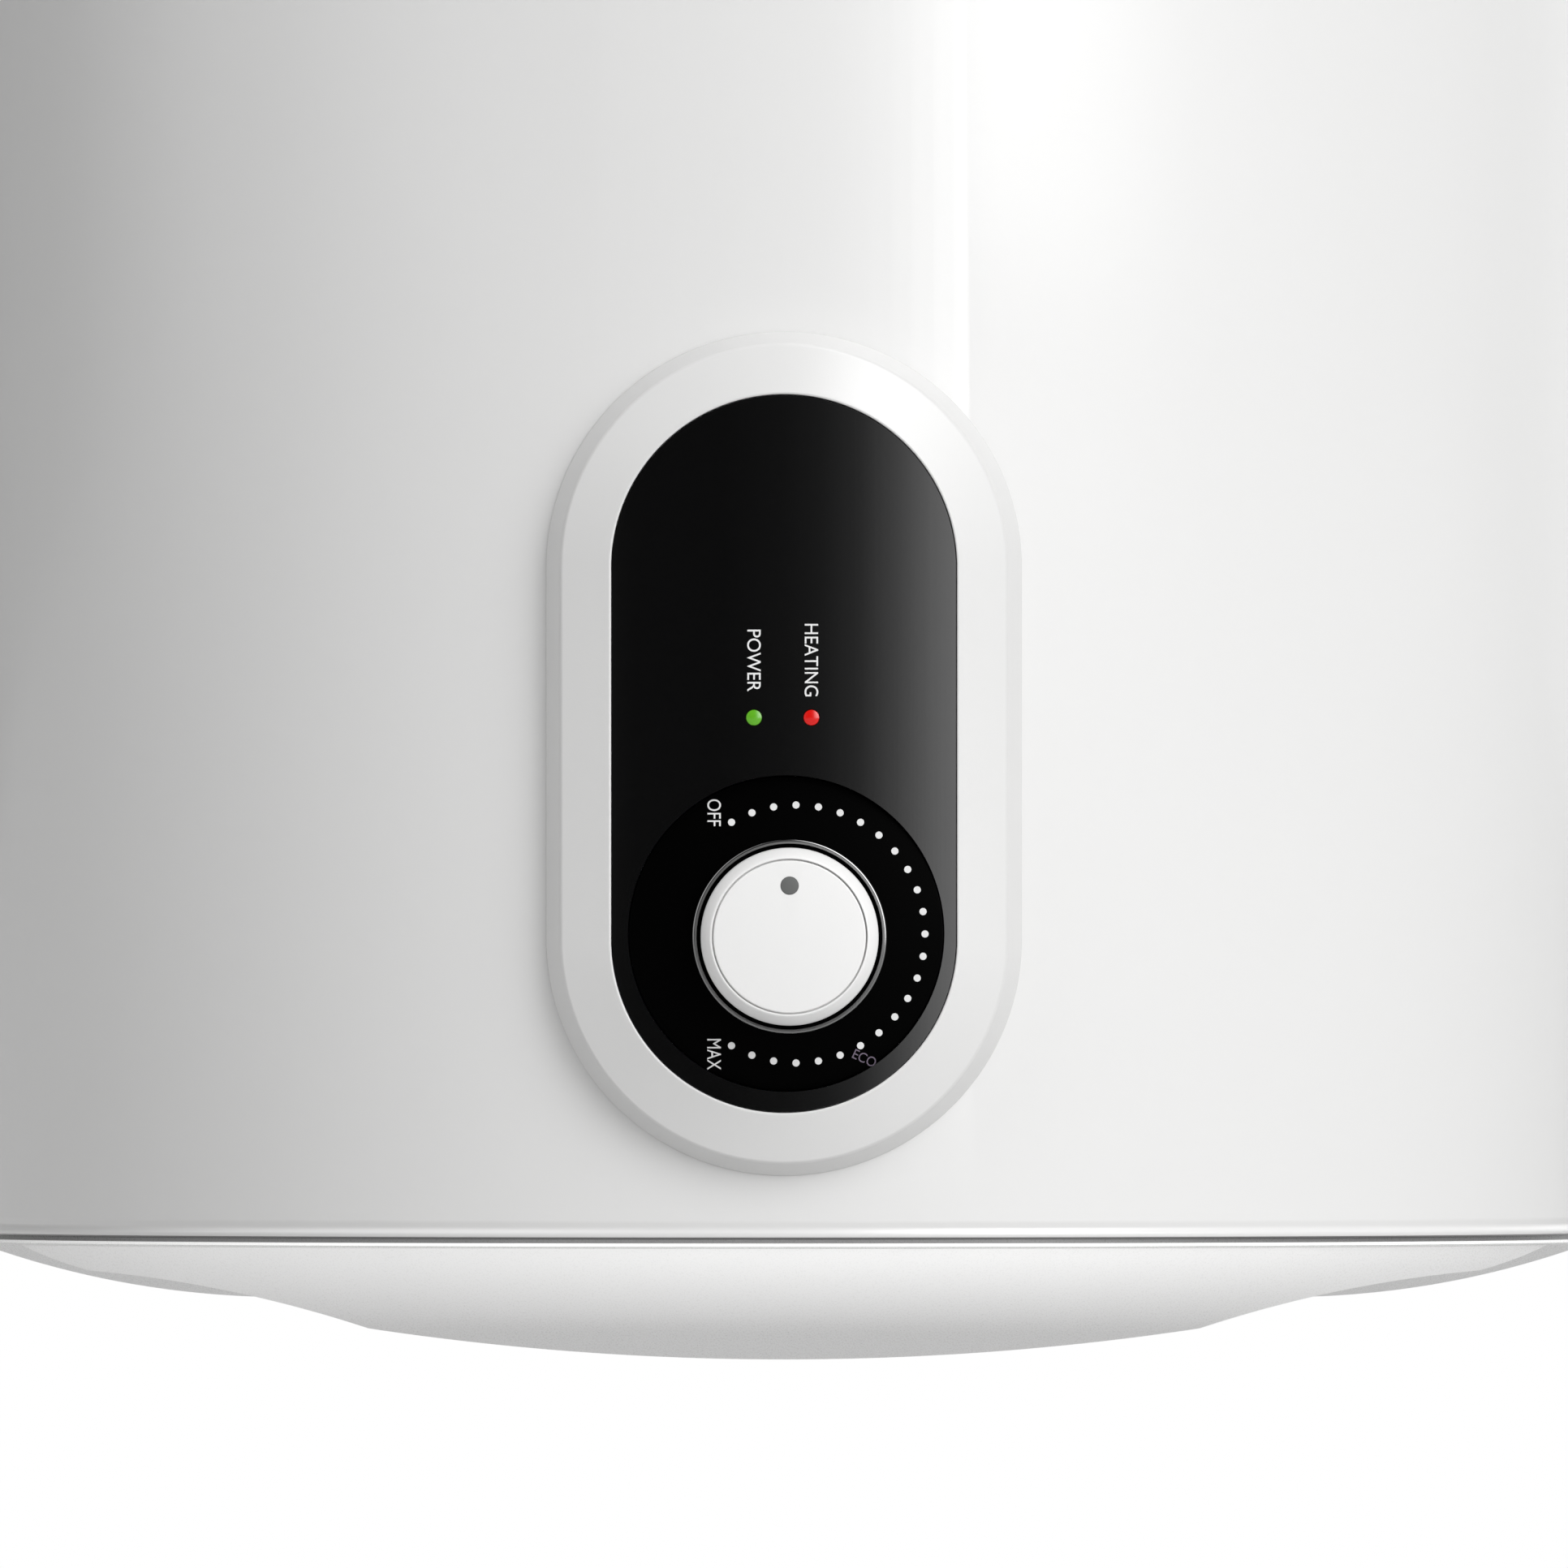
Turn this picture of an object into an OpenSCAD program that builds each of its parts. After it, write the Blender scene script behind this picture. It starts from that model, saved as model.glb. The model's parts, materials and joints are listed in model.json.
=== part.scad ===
// Wall-hung cylindrical storage water heater, about 50 litres.
// Origin: on the wall plane, on the line through the two upper bracket holes.
// +Z is up, +Y points into the wall, so the control panel faces -Y.

/* [Casing] */
// Outside diameter of the painted steel casing
casing_d = 385; // [320:1:465]
// Height of the casing between its two caps
casing_h = 672; // [560:1:860]
// Thickness of the casing sheet
casing_wall = 0.8; // [0.5:0.1:1.2]
// Clear space between the casing's back and the wall
wall_gap = 12; // [8:1:30]
// Width of the lock seam down the back
seam_w = 10; // [6:1:14]
// How far the lock seam stands out of the casing
seam_t = 1.1; // [0.6:0.1:2]

/* [Caps] */
// How far each cap stands out past the casing
cap_depth = 28.6; // [24:0.2:36]
// Wall of the moulded caps
cap_wall = 2.5; // [2:0.1:3.2]
// Open joint between a cap and the casing's edge
cap_gap = 0.8; // [0.3:0.1:1.5]
// How far a cap's rim is set back from the casing's face
cap_inset = 0.8; // [0.4:0.1:2]
// How far a cap's spigot reaches inside the casing
spigot_h = 10; // [8:0.5:14]
// Depth of the lower cap's flat pan
pan_depth = 14.9; // [14:0.1:18]
// Radius of the curve from the pan's floor up to the rim
pan_curve_r = 210; // [180:5:300]
// Length of that curve, measured inwards from the rim
pan_curve_w = 73.2; // [50:0.2:76]
// How far the front lip reaches back from the rim
lip_reach = 61.7; // [40:0.1:70]
// Crown radius of the front lip
lip_crown_r = 669; // [500:1:900]
// Radius of the lip's rounded front edge
lip_edge_r = 53; // [46:1:60]
// Radius of the scoop that trims each side of the lip
scoop_r = 272; // [220:1:320]

/* [Tank] */
// Foam between the tank and the casing
foam_side = 21.7; // [21.4:0.1:32]
// Height of the tank's lowest point above the casing's lower edge
foam_bottom = 45; // [42:1:60]
// Foam above the tank
foam_top = 25; // [15:1:50]
// Thickness of the tank's steel
tank_wall = 1.8; // [1.5:0.1:3]
// Depth of each dished tank head
head_depth = 70; // [55:1:85]
// Corner radius of the tank heads
head_corner_r = 30; // [20:1:40]

/* [Wall brackets] */
// Distance between the upper bracket's holes
upper_spacing = 200; // [160:1:240]
// Distance between the lower bracket's holes
lower_spacing = 110; // [90:1:130]
// Diameter of the wall bolt holes
wall_hole_d = 11; // [8:0.5:13]
// Thickness of the bracket steel
bracket_t = 3; // [2:0.5:4]
// Height of a bracket
bracket_h = 40; // [30:1:50]
// Distance from the top of the tank's straight wall down to the upper bracket holes
upper_drop = 83; // [60:1:120]
// Distance from the foot of the tank's straight wall up to the lower bracket holes
lower_rise = 28; // [26:1:60]

/* [Control panel] */
// Height of the bezel's front face above the casing's lower edge
panel_up = 17.7; // [14:0.1:60]
// Width of the fascia
fascia_w = 80.3; // [66:0.1:97]
// Height of the fascia
fascia_h = 167.3; // [150:0.1:202]
// Thickness of the fascia
fascia_t = 2.5; // [2:0.1:3]
// How far the fascia sits behind the bezel's inner edge
fascia_sink = 0.5; // [0.2:0.1:1]
// Width of the bezel's front face round the fascia
bezel_ring_w = 12.05; // [10:0.05:15]
// Draft angle of the bezel's side wall
bezel_draft = 21; // [10:1:28]
// How far the bezel's outer edge stands out of the casing
bezel_rise = 8; // [6:0.1:10]
// How far the bezel's inner edge stands out of the casing
bezel_lip = 12; // [11.7:0.1:16]

/* [Dial and knob] */
// Height of the knob's axis above the centre of the fascia's lower end
knob_up = 0.8; // [-1:0.1:3]
// Sideways place of the knob's axis
knob_x = 1.3; // [-2:0.1:3]
// Height of the dial plate's centre above the centre of the fascia's lower end
dial_up = 1.5; // [0:0.1:3]
// Sideways place of the dial plate's centre
dial_x = 0.5; // [-1:0.1:1]
// Width of the fascia left on each side of the flat dial plate
dial_margin = 3.4; // [3.2:0.1:8]
// Diameter of the knob
knob_d = 41.5; // [34:0.5:50]
// Height of the knob from the dial plate to its face
knob_h = 17.2; // [14:0.1:24]
// Width of the knob's rim round its inset face
knob_rim_w = 2.95; // [2.95:0.05:4]
// Gap between the knob and its trim ring
ring_gap = 0.9; // [0.5:0.1:3]
// Diameter of the marker dot
marker_d = 4.2; // [3:0.1:6]
// Distance from the knob's axis to the marker dot
marker_r = 11.9; // [9:0.1:12]
// Diameter of the thermostat's spindle
spindle_d = 6; // [5:0.5:7]
// Thickness of the thermostat's body
thermostat_t = 21; // [18:0.5:21]

/* [Lamps] */
// Diameter of a lamp's lens
lens_d = 4; // [3:0.1:6]
// Height of the lenses above the top of the dial plate
lens_up = 13.65; // [11:0.05:30]
// Distance between the two lenses
lens_spacing = 13.4; // [10:0.1:24]

/* [Flange and heater] */
// Outside diameter of the flange
flange_d = 125; // [104:1:150]
// Distance from the flange's edge to its bolt circle
flange_edge = 8.5; // [8:0.5:10]
// Distance from the bolt circle to the edge of the flange's opening
flange_seat = 14; // [12:0.5:15]
// Thickness of the flange plate
flange_t = 4; // [3:0.5:6]
// Diameter of the heating element's tube
element_d = 8; // [6.5:0.5:9]
// Height of the heating element above the flange
element_h = 290; // [200:5:380]
// Diameter of the anode rod
anode_d = 21; // [16:1:22]
// Length of the anode rod
anode_l = 300; // [200:5:400]

/* [Pipes and cable entry] */
// Outside diameter of the pipe thread, G 1/2
thread_d = 20.955; // [20.955]
// Length of the pipe thread
thread_l = 16; // [12:0.5:16.5]
// Outside diameter of the pipes above the thread
pipe_d = 21.3; // [21.2:0.1:22]
// Wall of the pipes
pipe_wall = 3.2; // [2:0.1:4]
// Distance between the two pipes
pipe_spacing = 100; // [90:1:110]
// Distance of the pipes behind the tank's axis
pipe_y = 75; // [72:1:80]
// Height of the pipe ends above the lip's lowest point
pipe_end_up = 4.1; // [3:0.1:8]
// Diameter of the supply cable that the gland takes
cable_d = 9; // [7:0.5:10]

/* [Hidden] */
$fn = 96;
// Clearance of a fixed piece in its pocket, of a shank in its hole, and of a shaft in its bore
fit = 0.2;
shank_gap = 0.1;
run_gap = 0.05;

casing_r = casing_d / 2;
casing_in_r = casing_r - casing_wall;
axis_y = casing_r + wall_gap;
cap_r = casing_r - cap_inset;
spigot_r = casing_in_r - 0.6;
pan_flat_r = cap_r - pan_curve_w;

tank_r = casing_in_r - foam_side;
tank_z0 = foam_bottom;
tank_z1 = casing_h + cap_depth - cap_wall - foam_top;
shell_z0 = tank_z0 + head_depth;
shell_z1 = tank_z1 - head_depth;
upper_z = shell_z1 - upper_drop;
lower_z = shell_z0 + lower_rise;
foam_z0 = spigot_h + 4;
foam_z1 = casing_h - spigot_h - 1;

// Lip of the lower cap: where its curves are centred
lip_back_y = lip_reach - cap_r;
lip_crown_z = sqrt(pow(lip_crown_r, 2) - pow(lip_back_y, 2)) - cap_depth;
lip_ring_r = cap_r - 43.7;
lip_ring_z = lip_crown_z - sqrt(pow(lip_crown_r - lip_edge_r, 2) - pow(lip_ring_r, 2));
lip_tangent_r = lip_ring_r * lip_crown_r / (lip_crown_r - lip_edge_r);
lip_sweep_r = cap_r + 15.3;
lip_sweep_y = 40;
scoop_x = cap_r - 8.1;
scoop_z = -7.3 - scoop_r;
cap_corner = 0.7 * cap_depth;

// Recess in the pan for the pipes and the gland
bay_r = 24;
bay_z = 10 - pan_depth;
bay_in_z = bay_z + cap_wall;

// Arms that carry the tank from its brackets
upper_arm_spacing = 120;
lower_arm_spacing = 60;
bracket_margin = 20;

// Levels of the flange, from its collar on the tank down to the stud ends
collar_z = tank_z0 - 12;
gasket_t = 3;
plate_z1 = collar_z - gasket_t;
plate_z0 = plate_z1 - flange_t;
nut_across = 13;
nut_h = 6.5;
nut_z0 = plate_z0 - nut_h;
stud_r = 4;
stud_z0 = nut_z0 - 3;
stud_angles = [for (i = [0:5]) 30 + 60 * i];
flange_pcd = flange_d - 2 * flange_edge;
flange_bore_d = flange_pcd - 2 * flange_seat;
well_r = flange_d / 2 + 17.5;
element_pitch = 2 * element_d;
element_legs = [for (i = [-1.5:1:1.5]) i * element_pitch];
element_boss = 2.5;
pocket_r = 4.5;
pocket_wall = 0.8;
pocket_h = 220;
pocket_y = -20;
thermostat_pocket_x = -12;
cutout_pocket_x = 12;
anode_y = flange_bore_d / 2 - anode_d / 2 - 3.5;
anode_z0 = plate_z1 + 8;
anode_z1 = anode_z0 + anode_l;
anode_stud_z1 = anode_z0 + 25;

// Pipes
thread_r = thread_d / 2;
pipe_r = pipe_d / 2;
pipe_bore_r = pipe_r - pipe_wall;
pipe_z0 = pipe_end_up - cap_depth;
thread_z1 = pipe_z0 + thread_l;
cold_x = pipe_spacing / 2;
hot_x = -pipe_spacing / 2;
cold_z1 = tank_z0 + 40;
hot_z1 = tank_z1 - 45;

collar_neck_r = pipe_r + 3;
collar_rim_r = pipe_r + 6;

// Cable gland, hung in the bay between the pipes
cable_r = cable_d / 2;
gland_r = 8;
gland_bore_r = cable_r + 0.6;
gland_collar_z = bay_z - 5;
gland_body_z0 = gland_collar_z - 7;
seal_r = 7.1;
dome_lip_z = gland_body_z0 - 1;
dome_z0 = dome_lip_z - 3.5;

// Shelf under the flange for the terminal block and the cut-out
shelf_t = 1.2;
shelf_z1 = plate_z0 - 19;
shelf_z0 = shelf_z1 - shelf_t;
shelf_half = 44;
shelf_y0 = -68;
shelf_y1 = -36;
post_x = 25;
post_y = -46;
post_w = 12;
post_screw_r = 2;
earth_place = [-40, 10, 0];
block_y0 = -62;
block_y1 = -40;
block_z0 = shelf_z0 - 12;
block_bores = [for (i = [0:2]) -36 + 12 * i];
bore_z = block_z0 + 6;
wire_r = 1.3;
capillary_r = 1;
bulb_r = 3;
cutout_y1 = -38;
cutout_z0 = shelf_z0 - 14;
reset_place = [24, -50, cutout_z0];
reset_r = 3;
reset_stroke = 1.5;

// Screws that hold the caps to the casing: angles round the axis
cap_screw_angles = [5, 80, 175];
cap_screw_r = 1.75;
cap_screw_up = spigot_h / 2;

// Control panel. Its outlines share one spine and differ in their radius.
spine = fascia_h - fascia_w;
bezel_w = fascia_w + 2 * bezel_ring_w;
panel_z = panel_up + bezel_ring_w + fascia_h / 2;
lower_end_z = panel_z - spine / 2;
bezel_foot_r = casing_r + shank_gap;
bezel_shelf_r = casing_r + bezel_rise - 2.2;
bezel_bore = fascia_w / 2 + fit;
bezel_ledge = 2.7;
fascia_r = casing_r + bezel_lip - fascia_sink;
fascia_back_r = fascia_r - fascia_t;
cutout_w = fascia_w + 5.7;
housing_w = cutout_w - 1.2;
housing_wall = 2;
housing_flange_w = cutout_w + 17;
housing_back = tank_r + 2;
housing_floor = housing_back + housing_wall;
housing_top_r = casing_r + fit + 1.6;
housing_screw_r = 1.5;
housing_screw_a = asin((cutout_w / 2 + 3.2) / casing_r);
duct_r = 7.5;
duct_s = housing_floor + duct_r + 0.7;
duct_z1 = lower_end_z - housing_w / 2 + 5.5;
dial_d = fascia_w - 2 * dial_margin;
dial_edge_x = dial_d / 2 + abs(dial_x);
dial_front = sqrt(pow(fascia_r, 2) - pow(dial_edge_x, 2)) - 0.1;
dial_t = 2;
dial_back = dial_front - dial_t;
dial_z = lower_end_z + dial_up;
knob_z = lower_end_z + knob_up;
lens_z = dial_z + dial_d / 2 + lens_up;
lens_mid_x = -0.3;
board_s1 = fascia_back_r - 9.1;
board_t = 1.6;
board_post_x = 13;

// Thermostat, measured from its front face
therm_s = dial_back - 3.05;
therm_half_w = 18;
therm_half_h = 22;
therm_z0 = knob_z - therm_half_h;
spindle_r = spindle_d / 2;
spindle_flat = 0.73 * spindle_r;
bush_r = spindle_r + 1.5;
therm_post_x = housing_w / 2 - 13.4;
shoulder_s = therm_s - 6.5;
adjuster_s0 = therm_s - 15.5;
adjuster_h = 6;
adjuster_room_r = 7;

// Knob
knob_r = knob_d / 2;
knob_s0 = dial_front + 0.7;
knob_s1 = dial_front + knob_h;
knob_bevel = 2.6;
face_r = knob_r - knob_rim_w;
face_groove = 0.35;
face_t = 1.3;
web_s0 = knob_s1 - 4;
hub_r = spindle_r + 3.2;
ring_w = 1.1;
ring_r = knob_r + ring_gap + ring_w;
ring_h = 2.4;

// ---------- Placing and common shapes ----------

// The heater's own axis and the casing's lower edge, placed on the wall
module placed() translate([0, -axis_y, -upper_z]) children();

// A spot on the front: local Z runs out of the panel, and heights are measured from the axis
module on_front(x, z) placed() translate([x, 0, z]) rotate([90, 0, 0]) children();

module rod(r, z0, z1) translate([0, 0, z0]) cylinder(r = r, h = z1 - z0);

module pipe(r_out, r_in, z0, z1) difference() {
    rod(r_out, z0, z1);
    rod(r_in, z0 - 1, z1 + 1);
}

module box(x0, x1, y0, y1, z0, z1) translate([x0, y0, z0]) cube([x1 - x0, y1 - y0, z1 - z0]);

module hexagon_nut(across, bore_r, z0, z1) difference() {
    translate([0, 0, z0]) cylinder(d = across / cos(30), h = z1 - z0, $fn = 6);
    rod(bore_r, z0 - 1, z1 + 1);
}

// Upright outline with round ends; w is its width, and the spine sets its height
module stadium(w) {
    for (s = [-1, 1]) translate([0, s * spine / 2]) circle(d = w);
    square([w, spine], center = true);
}

// A stadium column on the control panel, from depth s0 to s1
module stadium_column(w, s0, s1) on_front(0, panel_z) translate([0, 0, s0])
    linear_extrude(s1 - s0) stadium(w);

// The part of a stadium column between two cylinders round the tank's axis
module curved_plate(w, r_in, r_out) intersection() {
    stadium_column(w, tank_r, casing_r + 30);
    placed() pipe(r_out, r_in, 0, 2 * panel_z);
}

// Dished end of radius a: a large crown that runs into a rounded corner of radius k.
// The inset gives the inner face of the same dish.
function crown_r(a, h, k) = (pow(a - k, 2) + h * h - k * k) / (2 * (h - k));

module dish(a, h, k, inset) rotate_extrude() {
    crown = crown_r(a, h, k);
    intersection() {
        translate([0, h - crown]) circle(crown - inset, $fn = 360);
        square([(a - k) * (crown - inset) / (crown - k), h - inset]);
    }
    intersection() {
        translate([a - k, 0]) circle(k - inset);
        square([a - inset, h - inset]);
    }
}

// ---------- Casing, caps and insulation ----------

module cap_screw_places(z) for (a = cap_screw_angles)
    placed() translate([0, 0, z]) rotate([0, 90, a]) children();

module bracket_slots(spacing, z) placed() for (s = [-1, 1])
    translate([s * spacing / 2 - bracket_t / 2 - 0.5, 0, z - bracket_h / 2 - 0.5])
        cube([bracket_t + 1, axis_y, bracket_h + 1]);

module outer_casing() color("white") difference() {
    placed() union() {
        pipe(casing_r, casing_in_r, 0, casing_h);
        intersection() {
            pipe(casing_r + seam_t, casing_r - 0.1, 0, casing_h);
            box(-seam_w / 2, seam_w / 2, 0, axis_y, 0, casing_h);
        }
    }
    stadium_column(cutout_w, tank_r, casing_r + 20);
    bracket_slots(upper_arm_spacing, upper_z);
    bracket_slots(lower_arm_spacing, lower_z);
    for (z = [cap_screw_up, casing_h - cap_screw_up])
        cap_screw_places(z) rod(cap_screw_r + shank_gap, spigot_r - 5, axis_y);
    housing_screw_places() rod(housing_screw_r + shank_gap, tank_r, axis_y);
}

module spigot(z0, z1) pipe(spigot_r, spigot_r - cap_wall, z0, z1);

module top_cap() color("white") difference() {
    placed() {
        translate([0, 0, casing_h + cap_gap]) difference() {
            dish(cap_r, cap_depth - cap_gap, cap_corner, 0);
            dish(cap_r, cap_depth - cap_gap, cap_corner, cap_wall);
        }
        spigot(casing_h - spigot_h, casing_h + cap_gap + 2);
    }
    cap_screw_places(casing_h - cap_screw_up) rod(cap_screw_r - 0.2, spigot_r - 5, axis_y);
}

// The shallow pan, its inner face when inset
module pan(inset) rotate_extrude() intersection() {
    translate([0, inset - pan_depth]) square([cap_r - inset, pan_depth - cap_gap]);
    union() {
        translate([0, inset - pan_depth]) square([pan_flat_r, pan_depth]);
        translate([pan_flat_r, pan_curve_r - pan_depth]) circle(pan_curve_r - inset, $fn = 360);
    }
}

// The full dish that the lip is cut from
module lip_dish(inset) rotate_extrude() {
    floor_z = -cap_depth - 20;
    height = inset - cap_gap - floor_z;
    intersection() {
        translate([0, lip_crown_z]) circle(lip_crown_r - inset, $fn = 360);
        translate([0, floor_z]) square([lip_tangent_r * (1 - inset / lip_crown_r), height]);
    }
    intersection() {
        translate([lip_ring_r, lip_ring_z]) circle(lip_edge_r - inset);
        translate([0, floor_z]) square([cap_r - inset, height]);
    }
}

// The scoops trim the lip's underside towards each side
module scoops(inset) for (s = [-1, 1]) translate([s * scoop_x, 0, scoop_z]) rotate([90, 0, 0])
    cylinder(r = scoop_r + inset, h = 2 * cap_r, center = true, $fn = 360);

module lip_front(inset) box(-cap_r, cap_r, -cap_r, lip_back_y - inset, -2 * cap_depth, 1);

module lip() difference() {
    intersection() {
        lip_dish(0);
        union() {
            lip_front(0);
            translate([0, lip_sweep_y, 0]) pipe(2 * cap_r, lip_sweep_r, -2 * cap_depth, 1);
        }
    }
    scoops(0);
}

// Inside of the lip. Its thin tails stay solid.
module lip_hollow() difference() {
    intersection() {
        lip_dish(cap_wall);
        lip_front(cap_wall);
    }
    scoops(cap_wall);
}

module bay(inset) {
    z1 = bay_z + inset;
    for (s = [-1, 1]) translate([s * pipe_spacing / 2, pipe_y, 0])
        rod(bay_r + inset, -2 * cap_depth, z1);
    box(-pipe_spacing / 2, pipe_spacing / 2, pipe_y - bay_r - inset, pipe_y + bay_r + inset,
        -2 * cap_depth, z1);
}

module lower_cap() color("white") difference() {
    placed() {
        difference() {
            union() {
                pan(0);
                lip();
            }
            pan(cap_wall);
            lip_hollow();
            bay(0);
        }
        intersection() {
            difference() {
                bay(cap_wall);
                bay(0);
            }
            rod(cap_r, -pan_depth, 0);
        }
        spigot(-2, spigot_h);
    }
    placed() for (x = [cold_x, hot_x]) translate([x, pipe_y, 0])
        rod(collar_neck_r + shank_gap, bay_z - 1, bay_in_z + 1);
    placed() translate([0, pipe_y, 0]) rod(gland_r + shank_gap, bay_z - 1, bay_in_z + 1);
    cap_screw_places(cap_screw_up) rod(cap_screw_r - 0.2, spigot_r - 5, axis_y);
}

module cap_screw(z) cap_screw_places(z) {
    rod(cap_screw_r - 0.3, spigot_r - cap_wall, casing_r);
    rod(2 * cap_screw_r, casing_r, casing_r + 1.9);
}

module cap_screws() color("silver") for (z = [cap_screw_up, casing_h - cap_screw_up]) cap_screw(z);

module bottom_dish(inset) translate([0, 0, shell_z0]) mirror([0, 0, 1])
    dish(tank_r, head_depth, head_corner_r, inset);

module top_dish(inset) translate([0, 0, shell_z1]) dish(tank_r, head_depth, head_corner_r, inset);

module pipe_places() for (x = [cold_x, hot_x]) translate([x, pipe_y, 0]) children();

module foam_insulation() color("khaki") difference() {
    placed() union() {
        rod(casing_in_r - fit, foam_z0, foam_z1);
        rod(spigot_r - cap_wall - fit, foam_z1 - 1, casing_h + cap_gap);
        translate([0, 0, casing_h + cap_gap - 0.5])
            dish(cap_r, cap_depth - cap_gap, cap_corner, cap_wall + cap_gap + fit);
    }
    placed() {
        rod(tank_r + fit, shell_z0, shell_z1);
        bottom_dish(-fit);
        top_dish(-fit);
        rod(well_r, 0, shell_z0);
        pipe_places() rod(pipe_r + fit, 0, shell_z0);
        translate([0, -duct_s, 0]) rod(duct_r + fit, 0, panel_z);
    }
    stadium_column(housing_w + 2 * fit, housing_back - fit, casing_r + 20);
    bracket_slots(upper_arm_spacing, upper_z);
    bracket_slots(lower_arm_spacing, lower_z);
}

// ---------- Tank and brackets ----------

module tank_shell() color("steelblue") placed() pipe(tank_r, tank_r - tank_wall, shell_z0, shell_z1);

module tank_top_head() color("steelblue") placed() difference() {
    top_dish(0);
    top_dish(tank_wall);
}

module tank_bottom_head() color("steelblue") placed() difference() {
    bottom_dish(0);
    bottom_dish(tank_wall);
    rod(flange_bore_d / 2, 0, shell_z0);
    pipe_places() rod(pipe_r + run_gap, 0, shell_z0);
}

module wall_bracket(z, spacing, arms) color("silver") placed() difference() {
    z0 = z - bracket_h / 2;
    z1 = z + bracket_h / 2;
    half = spacing / 2 + bracket_margin;
    union() {
        box(-half, half, axis_y - bracket_t, axis_y, z0, z1);
        for (s = [-1, 1]) translate([s * arms / 2 - bracket_t / 2, 0, 0])
            box(0, bracket_t, tank_r / 2, axis_y - bracket_t / 2, z0, z1);
    }
    rod(tank_r, z0 - 1, z1 + 1);
    for (s = [-1, 1]) translate([s * spacing / 2, axis_y + 1, z]) rotate([90, 0, 0])
        rod(wall_hole_d / 2, 0, 2 * bracket_t);
}

module upper_wall_bracket() wall_bracket(upper_z, upper_spacing, upper_arm_spacing);

module lower_wall_bracket() wall_bracket(lower_z, lower_spacing, lower_arm_spacing);

// ---------- Flange, heater and anode ----------

module stud_places() for (a = stud_angles) rotate(a) translate([flange_pcd / 2, 0, 0]) children();

module flange_collar() color("steelblue") placed() difference() {
    rod(flange_d / 2, collar_z, tank_z0 + head_depth / 2);
    bottom_dish(0);
    rod(flange_bore_d / 2, 0, shell_z0);
    stud_places() rod(stud_r + shank_gap, collar_z - 1, collar_z + 8);
}

module flange_studs() color("silver") placed() stud_places() rod(stud_r, stud_z0, collar_z + 8);

module flange_gasket() color("dimgray") placed() difference() {
    pipe(flange_d / 2 - 1, flange_bore_d / 2, plate_z1, collar_z);
    stud_places() rod(stud_r + 0.3, 0, shell_z0);
}

module pocket_places() for (x = [thermostat_pocket_x, cutout_pocket_x])
    translate([x, pocket_y, 0]) children();

module outer_legs() for (x = [element_legs[0], element_legs[3]]) translate([x, 0, 0]) children();

module flange_plate() color("lightsteelblue") placed() difference() {
    rod(flange_d / 2, plate_z0, plate_z1);
    stud_places() rod(stud_r + 0.3, 0, shell_z0);
    pocket_places() rod(pocket_r + shank_gap, 0, shell_z0);
    outer_legs() rod(element_d / 2 + shank_gap, 0, shell_z0);
    translate([0, anode_y, 0]) rod(stud_r + shank_gap, 0, shell_z0);
    post_screw_places() rod(post_screw_r + shank_gap, plate_z0 - 1, plate_z1 - 1);
    translate(earth_place) rod(post_screw_r + shank_gap, plate_z0 - 1, plate_z1 - 1);
}

module flange_nuts() color("silver") placed() {
    stud_places() hexagon_nut(nut_across, stud_r + shank_gap, nut_z0, plate_z0);
    translate([0, anode_y, 0]) hexagon_nut(nut_across, stud_r + shank_gap, nut_z0, plate_z0);
}

module half_bend() rotate([90, 0, 0]) rotate_extrude(angle = 180)
    translate([element_pitch / 2, 0]) circle(d = element_d);

module heating_element() color("peru") placed() {
    top = plate_z1 + element_h - element_pitch / 2 - element_d / 2;
    low = plate_z1 + 60;
    outer_legs() {
        rod(element_d / 2, plate_z0 - element_boss, top);
        rod(element_d / 2 + 2, plate_z0 - element_boss, plate_z0);
    }
    for (x = [element_legs[1], element_legs[2]]) translate([x, 0, 0]) rod(element_d / 2, low, top);
    for (s = [-1, 1]) translate([s * element_pitch, 0, top]) half_bend();
    translate([0, 0, low]) mirror([0, 0, 1]) half_bend();
}

module element_terminals() color("ivory") placed() outer_legs() {
    rod(3.2, plate_z0 - element_boss - 5, plate_z0 - element_boss);
    rod(1.6, plate_z0 - element_boss - 12, plate_z0 - element_boss - 4);
}

// A closed pocket for a temperature bulb
module pocket(x) color("peru") placed() translate([x, pocket_y, 0]) difference() {
    union() {
        rod(pocket_r, plate_z0 - 1.5, plate_z0 + pocket_h);
        rod(pocket_r + 2, plate_z0 - 1.5, plate_z0);
    }
    rod(pocket_r - pocket_wall, plate_z0 - 2, plate_z0 + pocket_h - pocket_wall);
}

module thermostat_well() pocket(thermostat_pocket_x);

module cutout_well() pocket(cutout_pocket_x);

module anode_rod() color("gray") placed() translate([0, anode_y, 0]) difference() {
    rod(anode_d / 2, anode_z0, anode_z1);
    rod(stud_r + shank_gap, anode_z0 - 1, anode_stud_z1);
}

module anode_stud() color("silver") placed() translate([0, anode_y, 0]) {
    rod(stud_r, stud_z0, anode_stud_z1);
    rod(stud_r + 3, plate_z1, anode_z0);
}

// ---------- Pipes, collars and cable gland ----------

module threaded_pipe(x, z1) placed() translate([x, pipe_y, 0]) difference() {
    union() {
        rod(thread_r, pipe_z0, thread_z1);
        rod(pipe_r, thread_z1, z1);
    }
    rod(pipe_bore_r, pipe_z0 - 1, z1 + 1);
}

module cold_inlet_pipe() color("lightsteelblue") threaded_pipe(cold_x, cold_z1);

module hot_outlet_pipe() color("lightsteelblue") threaded_pipe(hot_x, hot_z1);

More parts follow.
